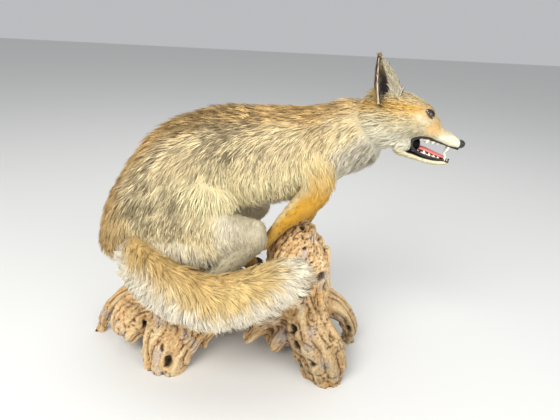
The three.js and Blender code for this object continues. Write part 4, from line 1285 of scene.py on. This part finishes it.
# the root: every limb a loft, joined into one gnarled piece of wood
woodMake = {"voxel": 2.1, "smoothings": 10, "lumps": 4.0, "fluting": 8.5, "ridges": 3.2, "crags": 5.5,
            "pits": 3.0, "grit": 0.7, "splinters": 3.6}
limbRows = {
    "beam": [[-258, -4, 78, 44, 32, 34], [-200, 0, 84, 68, 44, 40], [-120, 0, 90, 74, 40, 36],
             [-40, 0, 94, 74, 42, 40], [40, 0, 90, 64, 44, 44]],
    "column": [[34, -8, 40, 60, 64, 62], [32, -10, 110, 58, 62, 66], [38, -12, 165, 56, 56, 57],
               [33, -12, 205, 54, 49, 54], [42, -12, 234, 44, 36, 38], [48, -10, 246, 28, 18, 20]],
    "frontLeg": [[48, -26, 104, 46, 46, 46], [66, -60, 72, 42, 38, 48], [88, -90, 38, 34, 38, 50],
                 [98, -102, -14, 28, 26, 28]],
    "sideLeg": [[70, 0, 96, 34, 34, 34], [108, 2, 84, 26, 22, 26], [138, 3, 52, 20, 17, 18],
                [147, 4, 22, 15, 13, 14], [144, 6, 0, 12, 11, 12]],
    "rearLeg": [[-150, -20, 86, 46, 56, 50], [-168, -56, 58, 40, 50, 56], [-184, -82, 30, 33, 46, 44],
                [-190, -92, -14, 28, 34, 30]],
    "rearStub": [[-228, -18, 78, 38, 40, 40], [-256, -36, 58, 38, 37, 36], [-268, -46, 36, 30, 26, 26]],
    "tailLeg": [[-262, 8, 92, 20, 22, 22], [-296, 4, 72, 12, 13, 13], [-318, 2, 42, 11, 12, 12],
                [-332, 1, 10, 9, 9, 9], [-336, 0, -10, 8, 8, 8]],
    "spur": [[-110, -30, 76, 20, 26, 26], [-116, -46, 48, 13, 16, 16], [-127, -55, 20, 7, 8, 8]],
    "middleStub": [[0, -22, 86, 34, 30, 30], [-26, -42, 58, 20, 18, 18], [-44, -53, 42, 12, 11, 11]],
    "frontStub": [[34, -36, 72, 30, 28, 28], [14, -56, 48, 22, 20, 20], [4, -62, 34, 14, 12, 12]],
    "farRearLeg": [[-170, 24, 86, 44, 40, 40], [-190, 74, 50, 38, 34, 34], [-202, 106, 16, 30, 28, 30],
                   [-204, 112, -16, 26, 26, 26]],
    "farFrontLeg": [[44, 24, 96, 42, 40, 40], [72, 70, 54, 34, 32, 32], [92, 104, 16, 27, 26, 28],
                    [96, 110, -16, 24, 24, 24]],
}
limbs = [{"rows": rows, "depth": 0.5, "domes": (14, 10)} for rows in limbRows.values()]
wood = newPiece("rootWood", *together([loft(limb["rows"], limb["depth"], limb["domes"]) for limb in limbs]))
remeshed(wood, woodMake["voxel"])
relaxed(wood, woodMake["smoothings"])
p, n = readPoints(wood), readNormals(wood)

# hollows: place, size and depth of each
hollows = [
    ((80, -48, 172), 9, 6), ((88, -36, 150), 10, 7), ((40, -30, 256), 5, 6), ((39, -48, 244), 5, 5),
    ((62, -54, 218), 4, 4), ((58, -58, 203), 3.5, 4), ((46, -58, 226), 4, 4), ((30, -84, 84), 8, 8),
    ((39, -96, 60), 8, 7), ((48, -99, 24), 10, 9), ((66, -116, 42), 7, 6), ((138, -14, 40), 7, 7),
    ((-178, -116, 27), 8, 9), ((-183, -118, 18), 7, 7), ((-186, -106, 52), 5, 4), ((-227, -58, 66), 7, 9),
    ((-214, -76, 58), 6, 7), ((-272, -68, 58), 4, 3), ((-246, -66, 74), 4, 4), ((-262, -68, 44), 5, 4),
    ((98, -100, 84), 7, 5), ((-150, -92, 76), 7, 5), ((-20, -50, 60), 6, 5), ((96, 30, 196), 10, 8),
    ((-30, 40, 92), 12, 8),
]
# along each limb the wood is fluted: noise drawn out along the grain, whose zero lines are sharp clefts
# between rounded ribs; the grain's own coordinates are kept for the material
lies = [lieOn(limb, p) for limb in limbs]
share = shares(lies, 0.22)
broad, narrow, splinter = np.zeros((3, len(p)))
grain = np.zeros((len(p), 3))
sway = 6 * np.stack([noise(p / 30, 50 + k) for k in range(3)], 1)
for i, (limb, lie, w) in enumerate(zip(limbs, lies, share)):
    rows = np.array(limb["rows"], float)
    long = np.linalg.norm(np.diff(rows[:, :3], axis=0), axis=1).sum()
    girth = rows[:, 3].mean()
    at = np.stack([lie["u"] * long, np.cos(lie["angle"]) * girth, np.sin(lie["angle"]) * girth], 1)
    at = at + sway + i * 97  # each limb has its own stretch of the noise
    broad += w * noise(at / [75, 15, 15], 31)
    narrow += w * noise(at / [42, 6.5, 6.5], 32)
    # splinters: long cells, each at its own height, with a step between neighbours
    large, small = noise(np.floor(at / [70, 16, 16]), 71), noise(np.floor(at / [30, 8, 8] + 0.4), 72)
    splinter += w * (0.6 * large + 0.4 * small)
    grain += w[:, None] * at
lumps = noise(p / 33, 33) * 0.6 + noise(p / 15, 34) * 0.4
rough = ramp(noise(p / 36, 37) + 0.5 * ramp(40 - p[:, 2], 0, 30) + 0.9 * ramp(p[:, 2], 215, 245), -0.1, 0.4)
pits = np.clip(noise(p / 5.5, 35) - 0.2, 0, 1)
crag = np.abs(noise(p / 13, 38)) ** 0.7
warped = p + 5 * np.stack([noise(p / 9, 60 + k) for k in range(3)], 1)
dent = np.zeros(len(p))
for at, size, depth in hollows:
    dent += depth * 1.35 * np.exp(-(((warped - at) ** 2).sum(1) / size ** 2) ** 1.6)
ribs = np.abs(broad) ** 0.75 * (1 - 0.7 * ramp(p[:, 2], 215, 240))
grit = noise(p / 2.7, 36)
rise = woodMake["lumps"] * lumps + (woodMake["fluting"] - 3.5 * rough) * (ribs - 0.35)
rise = rise + woodMake["ridges"] * (np.abs(narrow) ** 0.8 - 0.3) * (1 - 0.4 * rough)
rise = rise + rough * (woodMake["crags"] * (crag - 0.4) - woodMake["pits"] * pits + woodMake["grit"] * grit)
rise = rise + woodMake["splinters"] * splinter - dent
points = p + n * rise[:, None]
points[:, 2] = np.maximum(points[:, 2], 0)
writePoints(wood, points)
relaxed(wood, 1)
n = readNormals(wood)
fineHollow = ((smoothedPoints(wood, 5) - readPoints(wood)) * n).sum(1)
broadHollow = ((smoothedPoints(wood, 40) - readPoints(wood)) * n).sum(1)
# pale sand-coloured wood, cream on the ribs, silver where it has weathered; brown in the clefts, pits and
# hollows as painted shade
peach, sand, pale = tone(0.90, 0.75, 0.54), tone(0.85, 0.68, 0.46), tone(0.96, 0.86, 0.67)
creviceShadeBrown, silver, amber = tone(0.36, 0.26, 0.19), tone(0.76, 0.72, 0.70), tone(0.88, 0.68, 0.40)
shade = mix(peach, sand, ramp(noise(p / 45, 39), -0.3, 0.3))
shade = mix(shade, amber, 0.6 * ramp(noise(p / 26, 40), 0.15, 0.5))
shade = mix(shade, silver, 0.6 * ramp(noise(p / 22, 41), 0.2, 0.5))
for at, size in (((84, -42, 160), 17), ((15, -72, 58), 15)):
    shade = mix(shade, silver, 0.85 * np.exp(-((p - at) ** 2).sum(1) / size ** 2))
shade = mix(shade, pale, 0.65 * ramp(ribs, 0.45, 0.8))
# painted shade: clefts, pits and hollows are darkened towards brown
wideCleft = ramp(-np.abs(broad), -0.16, -0.02) * ramp(noise(p / 19, 43), -0.3, 0.2)
thinCleft = 0.6 * ramp(-np.abs(narrow), -0.12, 0) * ramp(noise(p / 14, 44), -0.1, 0.3)
creviceShade = 0.35 * np.maximum(wideCleft, thinCleft) + 0.5 * pits * rough
creviceShade = creviceShade + 0.8 * ramp(fineHollow, 0.12, 0.7) + 0.5 * ramp(broadHollow, 0.6, 2.6)
shade = mix(shade, creviceShadeBrown, np.clip(creviceShade, 0, 0.88))
shade = mix(shade, pale, 0.5 * ramp(-fineHollow, 0.1, 0.5))
# painted shade: the deep hollows are painted nearly black
shade = mix(shade, creviceShadeBrown * 0.35, ramp(dent, 1.5, 6) * 0.9)
# painted shadow under the fox together with a duller wood: darker low down, more so towards the front
lowShadowAndDullerWood = (0.16 + 0.26 * ramp(p[:, 0], -20, 60)) * ramp(130 - p[:, 2], 0, 90)
shade = shade * (1 + 0.10 * noise(p / 3.1, 42))[:, None] * (1 - lowShadowAndDullerWood)[:, None]

# fibres: noise on the grain's coordinates, drawn out along it, times a fine speckle; the product darkens
# thin lines and roughens the surface
woodMaterial = paintedMaterial("rootWood", "wood", 0.72, 0.3)
join = woodMaterial.node_tree.links.new
alongGrain = addNode(woodMaterial, "Attribute")
alongGrain.attribute_name = "grain"
place = addNode(woodMaterial, "TexCoord")
fibre = addNode(woodMaterial, "TexNoise", Scale=1.0, Detail=5, Roughness=0.7)
speck = addNode(woodMaterial, "TexNoise", Scale=260, Detail=6, Roughness=0.75)
both = addNode(woodMaterial, "Math")
both.operation = "MULTIPLY"
darkening = {"From Min": 0.12, "From Max": 0.26, "To Min": 0.35, "To Max": 1.0}
darken = addNode(woodMaterial, "MapRange", **darkening)
dim = addNode(woodMaterial, "Mix")
dim.data_type = "RGBA"
dim.blend_type = "MULTIPLY"
dim.inputs["Factor"].default_value = 1.0
woodHue = next(node for node in woodMaterial.node_tree.nodes if getattr(node, "attribute_name", "") == "wood")
join(alongGrain.outputs["Vector"], fibre.inputs["Vector"])
join(place.outputs["Object"], speck.inputs["Vector"])
join(fibre.outputs["Fac"], both.inputs[0])
join(speck.outputs["Fac"], both.inputs[1])
join(both.outputs[0], darken.inputs["Value"])
join(woodHue.outputs["Color"], dim.inputs["A"])
join(darken.outputs["Result"], dim.inputs["B"])
join(dim.outputs["Result"], woodMaterial.node_tree.nodes["Principled BSDF"].inputs["Base Color"])
addBump(woodMaterial, both.outputs[0], 0.8, 0.002)
layer = wood.data.attributes.new("grain", "FLOAT_VECTOR", "POINT")
layer.data.foreach_set("vector", (grain / [24, 2.6, 2.6]).astype(np.float32).ravel())
dressed(wood, woodMaterial, "wood", np.clip(shade, 0, 1))
finishPiece(wood, "root_wood", "base_root")
print("root made:", len(wood.data.polygons), "faces")

dressed(skin, skinMaterial, "hair", shadedSkinColour)
apart = ("base_root", "nose", "tongue", "eye_right", "eye_left", "ear_right", "ear_left")
flesh = [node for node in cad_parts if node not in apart]
finishPiece(skin, "coat", *flesh)

# floor, light and camera
camera = {"at": (0, -780, 600), "pitch": 22.9, "roll": 2.9, "lens": 31.5, "sensor": 36}
lamps = {  # place and aim in metres in the shared frame, size, power, colour
    "key": [(-0.9, -1.5, 1.9), (0, 0, 0.28), 1.6, 52, (1.0, 0.98, 0.95)],
    "fill": [(1.3, -1.6, 0.9), (0, 0, 0.28), 1.8, 23, (0.98, 0.99, 1.0)],
    "top": [(0.1, 0.4, 2.2), (0, 0, 0.3), 1.8, 15, (1, 1, 1)],
}
sky = {"colour": (0.9, 0.92, 0.95, 1), "strength": 0.55}


def plainMaterial(name, colour, roughness=0.7):
    m = bpy.data.materials.new(name)
    m.use_nodes = True
    b = m.node_tree.nodes["Principled BSDF"]
    b.inputs["Base Color"].default_value = (*colour, 1)
    b.inputs["Roughness"].default_value = roughness
    return m


floorCorners = np.array([[-4000, -4000, -0.3], [4000, -4000, -0.3], [4000, 6000, -0.3], [-4000, 6000, -0.3]])
floorMaterial = plainMaterial("paleFloor", tone(0.86, 0.86, 0.85))
newPiece("floor", floorCorners, [np.array([[0, 1, 2, 3]])], floorMaterial)


def makeCamera():
    data = bpy.data.cameras.new("camera")
    data.lens = camera["lens"]
    data.sensor_width = camera["sensor"]
    tilt, roll = np.radians(camera["pitch"]), np.radians(camera["roll"])
    right = np.array([1.0, 0, 0])
    up = np.array([0, np.sin(tilt), np.cos(tilt)])
    ahead = np.array([0, np.cos(tilt), -np.sin(tilt)])
    x = right * np.cos(roll) + up * np.sin(roll)
    y = up * np.cos(roll) - right * np.sin(roll)
    made = bpy.data.objects.new("camera", data)
    place = np.eye(4)
    place[:3, :3] = np.stack([x, y, -ahead], 1)
    place[:3, 3] = np.array(camera["at"]) * mm + shift
    made.matrix_world = Matrix(place.tolist())
    bpy.context.scene.collection.objects.link(made)
    bpy.context.scene.camera = made


def areaLight(name, at, aim, size, power, colour):  # a round lamp at one point, turned towards another
    data = bpy.data.lights.new(name, "AREA")
    data.shape = "DISK"
    data.size, data.energy, data.color = size, power, colour
    lamp = bpy.data.objects.new(name, data)
    z = unit(np.array(at, float) - np.array(aim, float))
    x = unit(np.cross([0, 0, 1], z))
    place = np.eye(4)
    place[:3, :3] = np.stack([x, np.cross(z, x), z], 1)
    place[:3, 3] = at
    lamp.matrix_world = Matrix(place.tolist())
    bpy.context.scene.collection.objects.link(lamp)


makeCamera()
for name, lamp in lamps.items():
    areaLight(name, *lamp)
world = bpy.data.worlds.new("studio")
bpy.context.scene.world = world
world.use_nodes = True
world.node_tree.nodes["Background"].inputs["Color"].default_value = sky["colour"]
world.node_tree.nodes["Background"].inputs["Strength"].default_value = sky["strength"]
bpy.context.scene.view_settings.view_transform = "Standard"
print("stage set")
